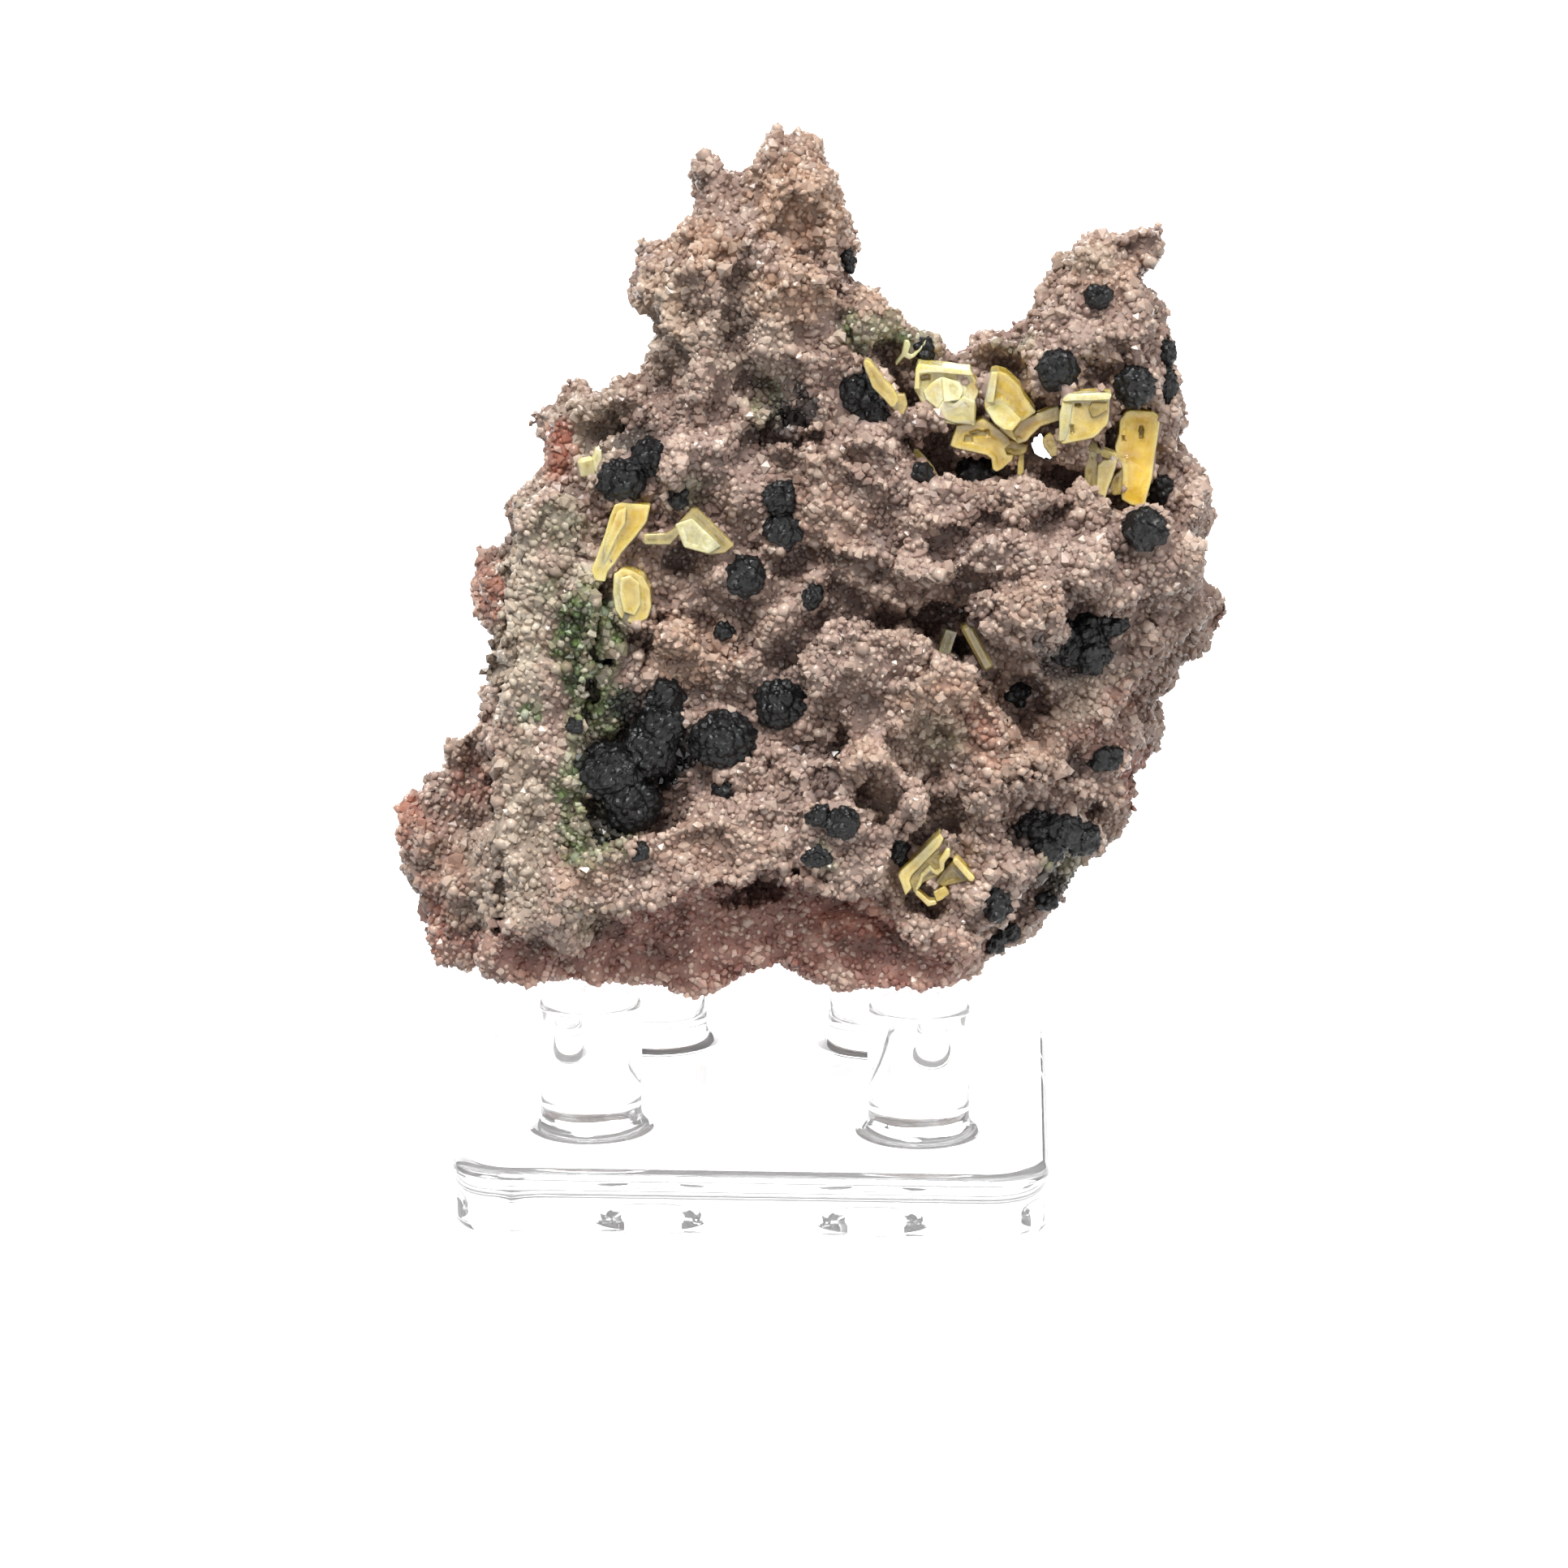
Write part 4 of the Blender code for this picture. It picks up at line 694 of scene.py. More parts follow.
def edges_at(points, normals):
    """How far the front rises to the eye at each point, and the way to the eye."""
    to_eye = np.array(EYE) - points
    to_eye /= np.linalg.norm(to_eye, axis=1)[:, None]
    x, z = seen_from_eye(points)
    x += 0.7 * noise_at(points, 1.9, 21.0) + 0.4 * noise_at(points, 0.8, 27.0)
    z += 0.9 * noise_at(points, 1.9, 33.0) + 0.4 * noise_at(points, 0.8, 39.0)
    rise = np.zeros(len(points))
    for left_rise, right_rise, width, line in EDGES:
        away, left = line_at(x, z, line)
        rise += np.where(left, left_rise, right_rise) * np.exp(-((away / width) ** 2))
    for middle_x, middle_z, wide, high, raised in RAISED:
        rise += raised * np.exp(-((x - middle_x) / wide) ** 2 - ((z - middle_z) / high) ** 2)
    facing = share((normals * to_eye).sum(axis=1), 0.15, 0.5)
    return rise * facing, to_eye


def tucked_under(points, places, normals, away):
    """The points that stand beside or before a ball or crystal brought to under its surface."""
    to_eye = np.array(EYE) - places
    to_eye /= np.linalg.norm(to_eye, axis=1)[:, None]
    before = ((normals * to_eye).sum(axis=1) > 0.05) & (away < TUCK_REACH)
    return np.where(before[:, None], places - normals * TUCK_DEPTH, points)


def build_rock():
    mesh = remeshed(rock_stock(), ROCK_VOXEL, smooth=2)
    ends = neighbours_of(mesh)
    points = points_of(mesh)
    filled = patches_at(points, FILLED, 0.0)
    sharpened = SHARPENED * (1 - filled) - filled
    points += sharpened[:, None] * (points - smoothed(points, ends, BROAD_ROUNDS))
    set_points(mesh, points)
    rise, to_eye = edges_at(points, normals_of(mesh))
    points = points + rise[:, None] * to_eye
    set_points(mesh, points)
    normals = normals_of(mesh)
    zones = zones_of(points)
    pieces, drawn, solid_rock = search_trees()
    places, piece_normals, away = nearest_on(pieces, points)
    width, reach = WARP
    bends = [noise_at(points, width, shift) for shift in (11.0, 23.0, 37.0)]
    warped = points + reach * np.stack(bends, axis=1)
    lumps = sum(high * (0.62 - cells_at(warped, wide)) for wide, high in LUMPS)
    lumps += sum(high * blocks_at(warped, wide) for wide, high in BLOCKS)
    wide, high = CREASES
    lumps += high * (0.35 - np.abs(noise_at(points, wide, 51.0)) * 1.8)
    chips = sum(high * noise_at(points, wide, 9.0) for wide, high in CHIPS)
    chips += zones["behind"] * sum(high * blocks_at(warped, wide) for wide, high in BACK_FACES)
    grain, high = SKIN_NOISE
    out = np.where(zones["broken"] > 0.5, chips, lumps) + high * noise_at(points, grain, 3.0)
    out *= 1 - 0.5 * zones["pale"] * (1 - zones["broken"])
    out = (out - SKIN_SUNK + pushed_at(points)) * share(np.abs(away), 0.1, 1.0)
    out = np.where(in_gap(points, GAP_MARGIN), -GAP_SUNK, out)
    points = tucked_under(points + normals * out[:, None], places, piece_normals, away)
    beyond = uncovered(points, pieces, drawn, solid_rock)
    hiding = (beyond > -SIGHT_CLEAR) & (beyond != 0)
    points = np.where(hiding[:, None], points - (beyond + SIGHT_CLEAR)[:, None] * to_eye, points)
    set_points(mesh, points)
    deep, broad = (
        ((smoothed(points, ends, rounds) - points) * normals).sum(axis=1) for rounds in CREVICE_ROUNDS
    )
    # Painted shade: darker colour in the narrow and wide crevices, where shade falls.
    zones["cavity"] = np.clip(0.5 * share(deep, 0.08, 0.5) + 0.4 * share(broad, 0.3, 1.9), 0, 1)
    # Painted highlight: lighter colour on the crests, where light catches them.
    zones["crest"] = share(-deep, 0.0, 0.40)
    set_zones(mesh, zones)
    set_attribute(mesh, "tone", np.full(len(points), 0.5))
    set_attribute(mesh, "tint", np.full(len(points), 0.5))
    mesh.shade_smooth()
    return mesh, zones


# The druse

def grain_shape():
    """The points and triangles of a grain: two square rings, one turned by 45 degrees, and two blunt tips."""
    bm = bmesh.new()
    for side in (-1, 1):
        bm.verts.new((0, 0, 0.8 * side))
        for corner in range(4):
            angle = math.pi / 4 * (2 * corner + (side > 0))
            bm.verts.new((0.9 * math.cos(angle), 0.9 * math.sin(angle), GRAIN_WAIST * side))
    bmesh.ops.convex_hull(bm, input=bm.verts)
    bmesh.ops.triangulate(bm, faces=bm.faces)
    bmesh.ops.recalc_face_normals(bm, faces=bm.faces)
    bm.verts.index_update()
    points = np.array([vertex.co for vertex in bm.verts])
    triangles = np.array([[vertex.index for vertex in face.verts] for face in bm.faces])
    bm.free()
    return points, triangles


def scattered(mesh, spacing, random):
    """Places on the mesh none nearer to another than spacing: each one's corners and their shares."""
    mesh.calc_loop_triangles()
    corners = np.empty(len(mesh.loop_triangles) * 3, np.int32)
    mesh.loop_triangles.foreach_get("vertices", corners)
    corners = corners.reshape(-1, 3)
    a, b, c = points_of(mesh)[corners].transpose(1, 0, 2)
    area = np.linalg.norm(np.cross(b - a, c - a), axis=1)
    count = int(area.sum() / 2 / spacing**2 * 4)
    chosen = random.choice(len(area), count, p=area / area.sum())
    u, v = np.sort(random.random((2, count)), axis=0)
    shares = np.stack([u, v - u, 1 - v], axis=1)
    spots = (np.stack([a, b, c])[:, chosen] * shares.T[:, :, None]).sum(axis=0)
    taken = {}
    kept = []
    for index, (spot, cell) in enumerate(zip(spots, map(tuple, (spots // spacing).astype(int)))):
        near = (
            taken.get((cell[0] + i, cell[1] + j, cell[2] + k), ())
            for i in (-1, 0, 1) for j in (-1, 0, 1) for k in (-1, 0, 1)
        )
        if all(np.dot(spot - other, spot - other) > spacing**2 for group in near for other in group):
            taken.setdefault(cell, []).append(spot)
            kept.append(index)
    return corners[chosen[kept]], shares[kept]


def mixed(values, corners, shares):
    """The vertices' values at the scattered places."""
    return np.einsum("nk...,nk->n...", values[corners], shares)


def turns(random, count):
    """Random rotation matrices."""
    q = random.normal(size=(count, 4))
    w, x, y, z = (q / np.linalg.norm(q, axis=1)[:, None]).T
    return np.array([
        [1 - 2 * (y * y + z * z), 2 * (x * y - z * w), 2 * (x * z + y * w)],
        [2 * (x * y + z * w), 1 - 2 * (x * x + z * z), 2 * (y * z - x * w)],
        [2 * (x * z - y * w), 2 * (y * z + x * w), 1 - 2 * (x * x + y * y)],
    ]).transpose(2, 0, 1)


def grain_spots(rock, zones, random):
    """Where the grains sit: their middles, outward ways, radii and zones."""
    pieces, drawn, solid_rock = search_trees()
    found = []
    for spacing, smallest, largest in GRAIN_SIZES:
        corners, shares = scattered(rock, spacing, random)
        spots = mixed(points_of(rock), corners, shares)
        away = nearest_on(pieces, spots)[2]
        kept = away > GRAIN_CLEAR + smallest - GRAIN_SIZES[0][1]
        kept &= uncovered(spots, pieces, drawn, solid_rock) <= 0
        kept &= ~in_gap(spots, 0.0)
        corners, shares, spots = corners[kept], shares[kept], spots[kept]
        radius = smallest + (largest - smallest) * random.random(len(spots)) ** 1.8
        radius *= 1 + 0.4 * noise_at(spots, 1.7, 41.0)
        own = {name: mixed(values, corners, shares) for name, values in zones.items()}
        found.append((spots, mixed(normals_of(rock), corners, shares), radius, own))
    spots, normals, radius = (np.concatenate(column) for column in list(zip(*found))[:3])
    zones = {name: np.concatenate([own[name] for *_, own in found]) for name in zones}
    kept = random.random(len(spots)) < 1 - 0.5 * zones["behind"]
    zones = {name: values[kept] for name, values in zones.items()}
    return spots[kept], normals[kept], radius[kept], zones


def build_grains(rock, zones):
    """The druse in GRAIN_PIECES meshes of small grains."""
    random = np.random.default_rng(SEED)
    spots, normals, radius, zones = grain_spots(rock, zones, random)
    radius *= 1 - 0.15 * zones["broken"]
    count = len(spots)
    shape, triangles = grain_shape()
    stretch = 1 + 0.6 * (random.random((count, 1, 3)) - 0.4)
    jitter = 1 + 0.4 * (random.random((count, len(shape), 3)) - 0.5)
    local = shape * stretch * jitter * radius[:, None, None]
    placed = np.einsum("nij,nkj->nki", turns(random, count), local)
    placed += (spots - normals * radius[:, None] * GRAIN_SUNK)[:, None, :]
    tone, tint = random.random((2, count))
    meshes = []
    for part in np.array_split(random.permutation(count), GRAIN_PIECES):
        faces = triangles[None] + len(shape) * np.arange(len(part))[:, None, None]
        mesh = mesh_from_arrays("grains", placed[part].reshape(-1, 3), faces.reshape(-1, 3))
        set_zones(mesh, {name: values[part].repeat(len(shape)) for name, values in zones.items()})
        set_attribute(mesh, "tone", tone[part].repeat(len(shape)))
        set_attribute(mesh, "tint", tint[part].repeat(len(shape)))
        rounded = random.random(len(part)) < ROUNDED_GRAINS
        mesh.polygons.foreach_set("use_smooth", rounded.repeat(len(triangles)))
        meshes.append(mesh)
    return meshes


# The black balls

def build_ball(name):
    """The node's ball or balls, finely lumpy."""
    bm = node_bmesh(name)
    low, high = (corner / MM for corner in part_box(name))
    if len(bm.verts) in SINGLE_BALLS:
        bm.free()
        bm = bmesh.new()
        middle, half = (low + high) / 2, (high - low) / 2
        bmesh.ops.create_icosphere(bm, subdivisions=5 if min(half) > 1.6 else 4, radius=1.0)
        placed = Matrix.Translation(middle) @ Matrix.Diagonal((*half, 1.0))
        bmesh.ops.transform(bm, matrix=placed, verts=bm.verts)
        mesh = mesh_of(bm, name)
    else:
        mesh = remeshed(mesh_of(bm), BALL_VOXEL, smooth=3)
    points, normals = points_of(mesh), normals_of(mesh)
    points = points + SWELL_OF.get(name, SWELL) * normals
    out = sum(high * (0.5 - cells_at(points, wide)) for wide, high in BALL_LUMPS)
    out += 0.2 * noise_at(points, 1.3)
    set_points(mesh, points + normals * out[:, None])
    mesh.shade_flat()
    return mesh


# The crystals

def finely_divided(bm, longest, window=None):
    """Cuts every edge that is longer than this until none is. With a window, only those in or near it."""
    for _ in range(8):
        bmesh.ops.triangulate(bm, faces=[face for face in bm.faces if len(face.verts) > 3])
        long_edges = [edge for edge in bm.edges if edge.calc_length() > longest]
        if window and long_edges:
            middles = np.array([(edge.verts[0].co + edge.verts[1].co) / 2 for edge in long_edges])
            near = out_of_window(middles, window) < WINDOW_MARGIN
            long_edges = [edge for edge, chosen in zip(long_edges, near) if chosen]
        if not long_edges:
            return
        bmesh.ops.subdivide_edges(bm, edges=long_edges, cuts=1)
    bmesh.ops.triangulate(bm, faces=bm.faces)


def from_edges(points, starts, ends):
    """Each point's distance to the nearest of the edges."""
    nearest = np.full(len(points), np.inf)
    for start, end in zip(starts, ends):
        long = end - start
        along = np.clip((points - start) @ long / (long @ long), 0, 1)
        nearest = np.minimum(nearest, np.linalg.norm(points - start - along[:, None] * long, axis=1))
    return nearest


def windows_on(tree):
    """The windows on this crystal: place, the ways across, up and out, and half width and height."""
    found = []
    for x, z, wide, high, turn in WINDOWS:
        place, normal, _, _ = tree.ray_cast(EYE, (Vector((x, 0, z)) - EYE).normalized())
        if place is not None:
            across = Vector((0, 0, 1)).cross(normal).normalized()
            across = Matrix.Rotation(math.radians(turn), 3, normal) @ across
            ways = np.array([across, normal.cross(across), normal])
            found.append((np.array(place), ways, wide / 2, high / 2))
    return found


def out_of_window(points, window):
    """How far each point is outside the window, less than 0 inside it."""
    place, ways, wide, high = window
    across, upward, out = ways @ (points - place).T
    return np.maximum(np.maximum(np.abs(across) - wide, np.abs(upward) - high), np.abs(out) - 0.25)


def build_crystal(name):
    """The node's tablets with growth steps round their faces and sunk windows."""
    bm = shape_bmesh(name)
    tree = BVHTree.FromBMesh(bm)
    bmesh.ops.dissolve_limit(bm, angle_limit=math.radians(2), verts=bm.verts, edges=bm.edges)
    sharp = [edge for edge in bm.edges if edge.calc_face_angle(0) > math.radians(12)]
    starts, ends = (np.array([edge.verts[i].co for edge in sharp]) for i in (0, 1))
    windows = windows_on(tree)
    finely_divided(bm, CRYSTAL_GRID)
    for window in windows:
        finely_divided(bm, WINDOW_GRID, window)
    mesh = mesh_of(bm, name)
    points, normals = points_of(mesh), normals_of(mesh)
    away = from_edges(points, starts, ends)
    ragged = away + 0.10 * noise_at(points, 0.7, 3.0)
    rise = sum(high * share(ragged, start, start + 0.2) for start, high in GROWTH_STEPS)
    rise = rise + 0.02 * noise_at(points, 0.5, 8.0) * share(away, 0.0, 0.15)
    rise -= EDGE_WEAR * (1 - share(away, 0.0, 0.08))
    inside = np.zeros(len(points))
    for window in windows:
        uneven = out_of_window(points, window) + 0.08 * noise_at(points, 0.4, 9.0)
        inside = np.maximum(inside, 1 - share(uneven, -0.12, 0.06))
    rise = rise * share(away, -0.01, 0.1) - WINDOW_DEPTH * inside
    set_points(mesh, points + normals * rise[:, None])
    # Painted highlight along the crystal's sharp edges.
    set_attribute(mesh, "painted_edge_highlight", 1 - share(ragged, 0.06, 0.3))
    if name in DRAWN:
        olive = np.empty(len(points), np.float32)
        mesh.attributes["olive"].data.foreach_get("value", olive)
        inside = np.maximum(inside, olive)
    set_attribute(mesh, "window", inside)
    # Milky parts, and the painted highlights on the barrel and the link.
    set_attribute(mesh, "milky_and_painted_highlight", patches_at(points, MILKY_AND_PAINTED_HIGHLIGHTS, 0.3 * noise_at(points, 0.9, 5.0)))
    mesh.shade_flat()
    return mesh


# The stand

def lathe(profile, sides):
    """A closed turned solid from (radius, height) pairs, which start and end on the axis."""
    angles = np.linspace(0, 2 * np.pi, sides, endpoint=False)
    bm = bmesh.new()
    rings = []
    for radius, height in profile:
        if radius == 0:
            rings.append([bm.verts.new((0, 0, height))] * sides)
        else:
            rings.append([bm.verts.new((radius * math.cos(a), radius * math.sin(a), height)) for a in angles])
    for low, high in zip(rings, rings[1:]):
        for i in range(sides):
            corners = [low[i], low[(i + 1) % sides], high[(i + 1) % sides], high[i]]
            bm.faces.new(list(dict.fromkeys(corners)))
    bmesh.ops.recalc_face_normals(bm, faces=bm.faces)
    return bm


def peg_profile(low, high, radius, foot):
    """From the axis inside the plate out to the flared foot, up the peg and back to the axis."""
    flare = [
        (radius + (foot - radius) * (1 - math.sin(t)), low + FLARE_HEIGHT * (1 - math.cos(t)))
        for t in np.linspace(0, math.pi / 2, 9)
    ]
    edge = [
        (radius - PEG_EDGE * (1 - math.cos(t)), high - PEG_EDGE * (1 - math.sin(t)))
        for t in np.linspace(0, math.pi / 2, 5)
    ]
    return [(0, low - 0.8), (foot, low - 0.8), *flare, *edge, (0, high)]


def plate_bmesh(low, high):
    """The rounded square plate with softened edges."""
    bm = bmesh.new()
    size = high - low
    middle = (low + high) / 2
    bmesh.ops.create_cube(bm, size=1.0)
    placed = Matrix.Translation(middle) @ Matrix.Diagonal((*size, 1))
    bmesh.ops.transform(bm, matrix=placed, verts=bm.verts)
    upright = [edge for edge in bm.edges if abs(edge.verts[0].co.z - edge.verts[1].co.z) > 1]
    bmesh.ops.bevel(bm, geom=upright, offset=PLATE_CORNER, segments=16, profile=0.5, affect="EDGES")
    level = [
        edge for edge in bm.edges
        if len(edge.link_faces) == 2 and any(abs(face.normal.z) > 0.9 for face in edge.link_faces)
    ]
    bmesh.ops.bevel(bm, geom=level, offset=PLATE_EDGE, segments=6, profile=0.5, affect="EDGES")
    return bm


def build_stand():
    """The plate and its four glued pegs as one clear piece."""
    plate_low, plate_high = (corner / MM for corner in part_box("display_base"))
    body = plain("plate", mesh_of(plate_bmesh(plate_low, plate_high), "plate"))
    pegs = []
    for name in STAND_NODES[1:]:
        low, high = (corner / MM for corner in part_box(name))
        profile = peg_profile(plate_high.z, high.z, PEG_RADIUS, (high.x - low.x) / 2)
        bm = lathe(profile, 72)
        bmesh.ops.translate(bm, vec=((low.x + high.x) / 2, (low.y + high.y) / 2, 0), verts=bm.verts)
        peg = plain(name + "_cutter", mesh_of(bm, name))
        pegs.append(peg)
        join = body.modifiers.new(name, "BOOLEAN")
        join.object, join.operation, join.solver = peg, "UNION", "EXACT"
    mesh = evaluated(body)
    for peg in pegs:
        bpy.data.objects.remove(peg)
    mesh.shade_smooth()
    smooth = plain("stand", mesh)
    weighted = smooth.modifiers.new("flat_faces_stay_flat", "WEIGHTED_NORMAL")
    weighted.weight = 100
    return evaluated(smooth)


# Materials

class Nodes:
    """Short calls for a material's node tree."""

    def __init__(self, name):
        self.material = bpy.data.materials.new(name)
        self.material.use_nodes = True
        self.tree = self.material.node_tree
        self.shader = self.tree.nodes["Principled BSDF"]

    def add(self, kind, **values):
        node = self.tree.nodes.new(kind)
        for name, value in values.items():
            setattr(node, name, value)
        return node

    def join(self, output, node_input):
        self.tree.links.new(output, node_input)

    def attribute(self, name):
        return self.add("ShaderNodeAttribute", attribute_name=name).outputs["Fac"]

    def noise(self, scale, detail=3.0, rough=0.55):
        node = self.add("ShaderNodeTexNoise")
        node.inputs["Scale"].default_value = scale / MM
        node.inputs["Detail"].default_value = detail
        node.inputs["Roughness"].default_value = rough
        self.join(self.add("ShaderNodeTexCoord").outputs["Object"], node.inputs["Vector"])
        return node.outputs["Fac"]

    def spread(self, value, start, end, low=0.0, high=1.0):
        node = self.add("ShaderNodeMapRange", clamp=True)
        self.join(value, node.inputs["Value"])
        for key, number in zip(("From Min", "From Max", "To Min", "To Max"), (start, end, low, high)):
            node.inputs[key].default_value = number
        return node.outputs["Result"]

    def times(self, a, b):
        node = self.add("ShaderNodeMath", operation="MULTIPLY")
        for value, node_input in zip((a, b), node.inputs):
            if isinstance(value, (int, float)):
                node_input.default_value = value
            else:
                self.join(value, node_input)
        return node.outputs[0]

    def mix(self, factor, a, b, blend="MIX"):
        node = self.add("ShaderNodeMix", data_type="RGBA", blend_type=blend)
        for value, key in ((factor, 0), (a, 6), (b, 7)):
            if isinstance(value, tuple):
                node.inputs[key].default_value = (*value, 1.0)
            elif isinstance(value, (int, float)):
                node.inputs[key].default_value = value
            else:
                self.join(value, node.inputs[key])
        return node.outputs[2]

    def bump(self, height, strength, distance):
        node = self.add("ShaderNodeBump")
        node.inputs["Strength"].default_value = strength
        node.inputs["Distance"].default_value = distance * MM
        self.join(height, node.inputs["Height"])
        self.join(node.outputs["Normal"], self.shader.inputs["Normal"])


def rgb(red, green, blue):
    """A display colour, 0 to 255, as the shader's linear one."""
    return tuple(
        ((c / 255 + 0.055) / 1.055) ** 2.4 if c > 10 else c / 255 / 12.92
        for c in (red, green, blue)
    )


def mottled(n, scale, dark, light, start=0.4, end=0.6):
    """Noise between two colours."""
    return n.mix(n.spread(n.noise(scale), start, end), dark, light)


def rock_colour(n):
    """Taupe druse with its tan, pale, green and red parts, painted highlights on the crests and painted shade
    in the crevices.
    """
    tone = n.attribute("tone")
    base = mottled(n, 0.16, rgb(146, 120, 107), rgb(172, 148, 137), 0.35, 0.65)
    tan = mottled(n, 0.5, rgb(164, 126, 102), rgb(192, 160, 136))
    base = n.mix(n.attribute("tan"), base, tan)
    pale = mottled(n, 0.6, rgb(156, 140, 120), rgb(204, 192, 172))
    base = n.mix(n.attribute("pale"), base, pale)
    broken = mottled(n, 0.6, rgb(112, 76, 66), rgb(160, 122, 110))
    lighter = n.times(n.attribute("behind"), n.spread(n.noise(0.12), 0.4, 0.6))
    broken = n.mix(lighter, broken, rgb(168, 142, 130))
    broken = n.mix(n.spread(n.attribute("tint"), 0.0, 0.5, 0.6, 0.0), broken, rgb(98, 66, 66))
    broken = n.mix(n.spread(n.attribute("tint"), 0.6, 1.0, 0.0, 0.8), broken, rgb(186, 152, 142))
    base = n.mix(n.attribute("broken"), base, broken)
    red = mottled(n, 0.7, rgb(128, 68, 52), rgb(174, 110, 90))
    base = n.mix(n.attribute("red"), base, red)
    leaf = mottled(n, 0.9, rgb(40, 58, 20), rgb(96, 122, 62))
    leaf = n.mix(n.spread(n.attribute("tint"), 0.65, 0.95, 0.0, 0.6), leaf, rgb(190, 202, 176))
    base = n.mix(n.attribute("green"), base, leaf)
    base = n.mix(n.spread(tone, 0.0, 0.2, 0.4, 0.0), base, rgb(118, 84, 68))
    base = n.mix(n.spread(tone, 0.5, 1.0, 0.0, 0.45), base, rgb(236, 218, 200))
    # Painted highlight on the crests.
    base = n.mix(n.times(n.attribute("crest"), 0.3), base, rgb(218, 194, 174))
    # Painted shade in the crevices.
    base = n.mix(n.times(n.attribute("cavity"), 0.8), base, rgb(66, 46, 40))
    return n.mix(n.attribute("black"), base, rgb(14, 14, 15))


def rock_material():
    n = Nodes("drusy_rock")
    # Painted shade between the grains: the front's skin under the grains is mixed a quarter toward dark
    # brown.
    painted_shade_between_grains = n.spread(n.attribute("behind"), 0.0, 1.0, 0.25, 0.0)
    n.join(n.mix(painted_shade_between_grains, rock_colour(n), rgb(70, 50, 44)), n.shader.inputs["Base Color"])
    n.shader.inputs["Roughness"].default_value = 0.6
    n.bump(n.noise(3.0, detail=4.0), 0.5, 0.12)
    return n.material


def grain_material():
    n = Nodes("druse_grains")
    n.join(rock_colour(n), n.shader.inputs["Base Color"])
    n.join(n.spread(n.attribute("tone"), 0.3, 0.9, 0.45, 0.14), n.shader.inputs["Roughness"])
    n.shader.inputs["Subsurface Weight"].default_value = 0.3
    n.shader.inputs["Subsurface Radius"].default_value = (1.0, 0.8, 0.7)
    n.shader.inputs["Subsurface Scale"].default_value = 0.4 * MM
    n.bump(n.noise(4.0, detail=2.0), 0.2, 0.05)
    return n.material


def ball_material():
    n = Nodes("black_mineral")
    base = mottled(n, 1.2, rgb(7, 8, 9), rgb(19, 19, 20), 0.35, 0.7)
    n.join(base, n.shader.inputs["Base Color"])
    n.join(n.spread(n.noise(2.0), 0.4, 0.6, 0.3, 0.55), n.shader.inputs["Roughness"])
    n.shader.inputs["Specular IOR Level"].default_value = 0.35
    n.bump(n.noise(4.0, detail=3.0), 0.5, 0.08)
    return n.material


def crystal_material(name, deep, bright, roughness=0.16):
    """Cloudy yellow with milky parts, painted highlights on some of those parts and along the edges, and
    olive windows.
    """
    n = Nodes(name)
    cloud = n.spread(n.noise(0.5, detail=4.0), 0.36, 0.62)
    base = n.mix(cloud, deep, bright)
    veins = n.spread(n.noise(1.1, detail=5.0, rough=0.7), 0.42, 0.6)
    # Milky parts, and painted highlights in the same pale colours.
    milky_and_highlight_colour = n.mix(veins, rgb(206, 196, 138), rgb(238, 230, 192))
    milky_and_painted_highlight = n.times(n.attribute("milky_and_painted_highlight"), n.spread(n.noise(0.7), 0.3, 0.55, 0.35, 1.0))
    base = n.mix(milky_and_painted_highlight, base, milky_and_highlight_colour)
    # Painted highlight along the edges.
    base = n.mix(n.times(n.attribute("painted_edge_highlight"), 0.35), base, rgb(252, 244, 190))
    olive = mottled(n, 1.0, rgb(140, 118, 48), rgb(184, 160, 80))
    base = n.mix(n.attribute("window"), base, olive)
    n.join(base, n.shader.inputs["Base Color"])
    n.join(n.spread(n.noise(1.2), 0.4, 0.65, roughness, roughness + 0.2), n.shader.inputs["Roughness"])
    n.shader.inputs["IOR"].default_value = CRYSTAL_IOR
    n.shader.inputs["Subsurface Weight"].default_value = 0.5
    n.shader.inputs["Subsurface Radius"].default_value = (1.0, 0.8, 0.25)
    n.shader.inputs["Subsurface Scale"].default_value = 0.8 * MM
    n.bump(n.noise(1.6, detail=3.0), 0.15, 0.04)
    return n.material


def crystal_kinds():
    """The materials by the crystals' kinds."""
    return {
        "bright": crystal_material("wulfenite_bright", rgb(198, 162, 50), rgb(238, 208, 102)),
        "golden": crystal_material("wulfenite_golden", rgb(214, 168, 36), rgb(250, 216, 84)),
        "honey": crystal_material("wulfenite_honey", rgb(186, 156, 62), rgb(224, 198, 104)),
        "pale": crystal_material("wulfenite_pale", rgb(224, 204, 114), rgb(246, 236, 172)),
        # The left tablet's clear face: its grey is partly the crystal's colour and partly painted reflection.
        "grey_painted_reflection": crystal_material("wulfenite_grey_painted_reflection", rgb(150, 146, 112), rgb(196, 190, 150), 0.08),
    }


def acrylic_material():
    n = Nodes("clear_acrylic")
    n.shader.inputs["Base Color"].default_value = (1.0, 1.0, 1.0, 1.0)
    n.shader.inputs["Roughness"].default_value = 0.0
    n.shader.inputs["IOR"].default_value = ACRYLIC_IOR
    n.shader.inputs["Transmission Weight"].default_value = CLEARNESS
    return n.material


def floor_material():
    n = Nodes("pale_floor")
    base = mottled(n, 0.004, (0.28, 0.28, 0.28), (0.32, 0.32, 0.32), 0.3, 0.7)
    n.join(base, n.shader.inputs["Base Color"])
    n.shader.inputs["Roughness"].default_value = 0.9
    n.shader.inputs["Emission Color"].default_value = (1.0, 1.0, 1.0, 1.0)
    n.shader.inputs["Emission Strength"].default_value = FLOOR_GLOW
    return n.material


# The studio

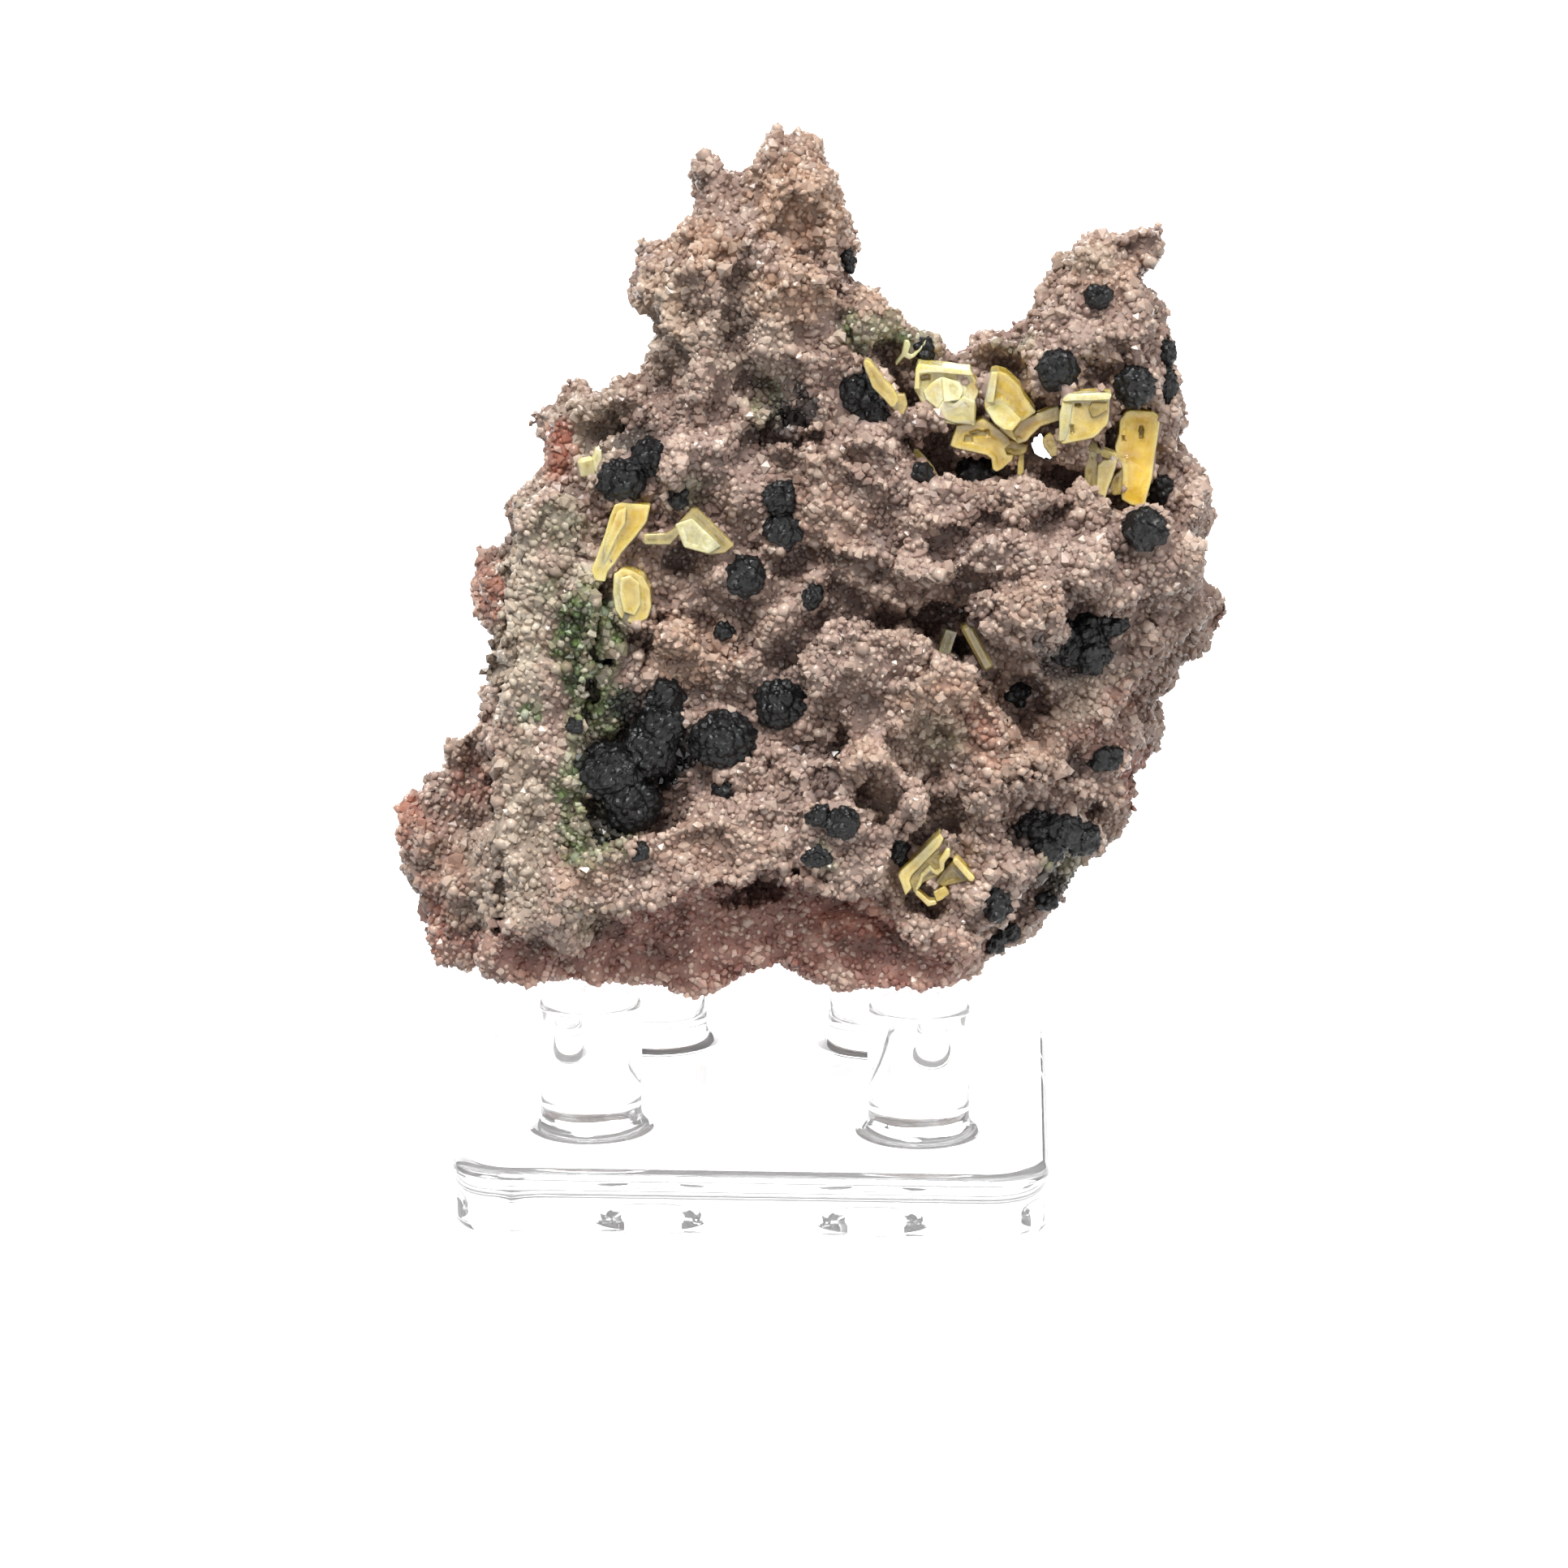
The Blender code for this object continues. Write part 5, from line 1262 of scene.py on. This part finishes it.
def add_camera():
    camera = bpy.data.objects.new("camera", bpy.data.cameras.new("camera"))
    bpy.context.scene.collection.objects.link(camera)
    camera.location = EYE * MM
    camera.rotation_euler = (math.radians(90 - LOOKS_DOWN), 0.0, math.radians(LOOKS_LEFT))
    camera.data.lens = LENS
    camera.data.sensor_width = 36.0
    camera.data.clip_start = 0.01
    camera.data.clip_end = 20.0
    bpy.context.scene.camera = camera


def add_floor():
    bm = bmesh.new()
    bmesh.ops.create_grid(bm, x_segments=1, y_segments=1, size=6.0)
    floor = plain("floor", mesh_of(bm, "floor"))
    floor.location.z = -0.0002
    floor.data.materials.append(floor_material())
    floor.visible_diffuse = False


def add_sun(name, strength, width, place):
    """A soft far light that shines from place to the middle of the specimen. width is in degrees."""
    light = bpy.data.lights.new(name, "SUN")
    light.energy = strength
    light.angle = math.radians(width)
    lamp = bpy.data.objects.new(name, light)
    bpy.context.scene.collection.objects.link(lamp)
    lamp.location = place
    lamp.rotation_mode = "QUATERNION"
    lamp.rotation_quaternion = Vector(place).to_track_quat("Z", "Y")


def add_world():
    """A dim grey room, brighter above than below."""
    world = bpy.data.worlds.new("studio")
    bpy.context.scene.world = world
    world.use_nodes = True
    tree = world.node_tree
    direction = tree.nodes.new("ShaderNodeTexCoord").outputs["Generated"]
    split = tree.nodes.new("ShaderNodeSeparateXYZ")
    level = tree.nodes.new("ShaderNodeMapRange")
    for key, number in zip(("From Min", "From Max", "To Min", "To Max"), (-0.5, 0.9, *ROOM_LIGHT)):
        level.inputs[key].default_value = number
    tree.links.new(direction, split.inputs[0])
    tree.links.new(split.outputs["Z"], level.inputs["Value"])
    tree.links.new(level.outputs["Result"], tree.nodes["Background"].inputs["Strength"])


def add_studio():
    add_camera()
    add_floor()
    add_world()
    add_sun("top_light", TOP_LIGHT, 30.0, (-0.15, -0.4, 0.8))
    add_sun("right_light", RIGHT_LIGHT, 50.0, (0.9, -0.5, 0.35))
    add_sun("front_light", FRONT_LIGHT, 50.0, (-0.3, -1.0, -0.05))
    add_sun("back_light", BACK_LIGHT, 60.0, (-0.2, 1.0, 0.25))
    bpy.context.scene.view_settings.view_transform = "Standard"


def main():
    rock, zones = build_rock()
    grains = build_grains(rock, zones)
    finish_piece("matrix_rock", rock, rock_material(), ["matrix"])
    finish = grain_material()
    for number, mesh in enumerate(grains, 1):
        finish_piece(f"druse_{number}", mesh, finish, [])
    black = ball_material()
    for name in ROUND_NODES:
        finish_piece(name + "_fine", build_ball(name), black, [name])
    kinds = crystal_kinds()
    for name in CRYSTAL_NODES:
        kind = kinds[KIND_OF.get(name, "bright")]
        finish_piece(name + "_fine", build_crystal(name), kind, [name])
    finish_piece("acrylic_stand", build_stand(), acrylic_material(), STAND_NODES)
    add_studio()


main()
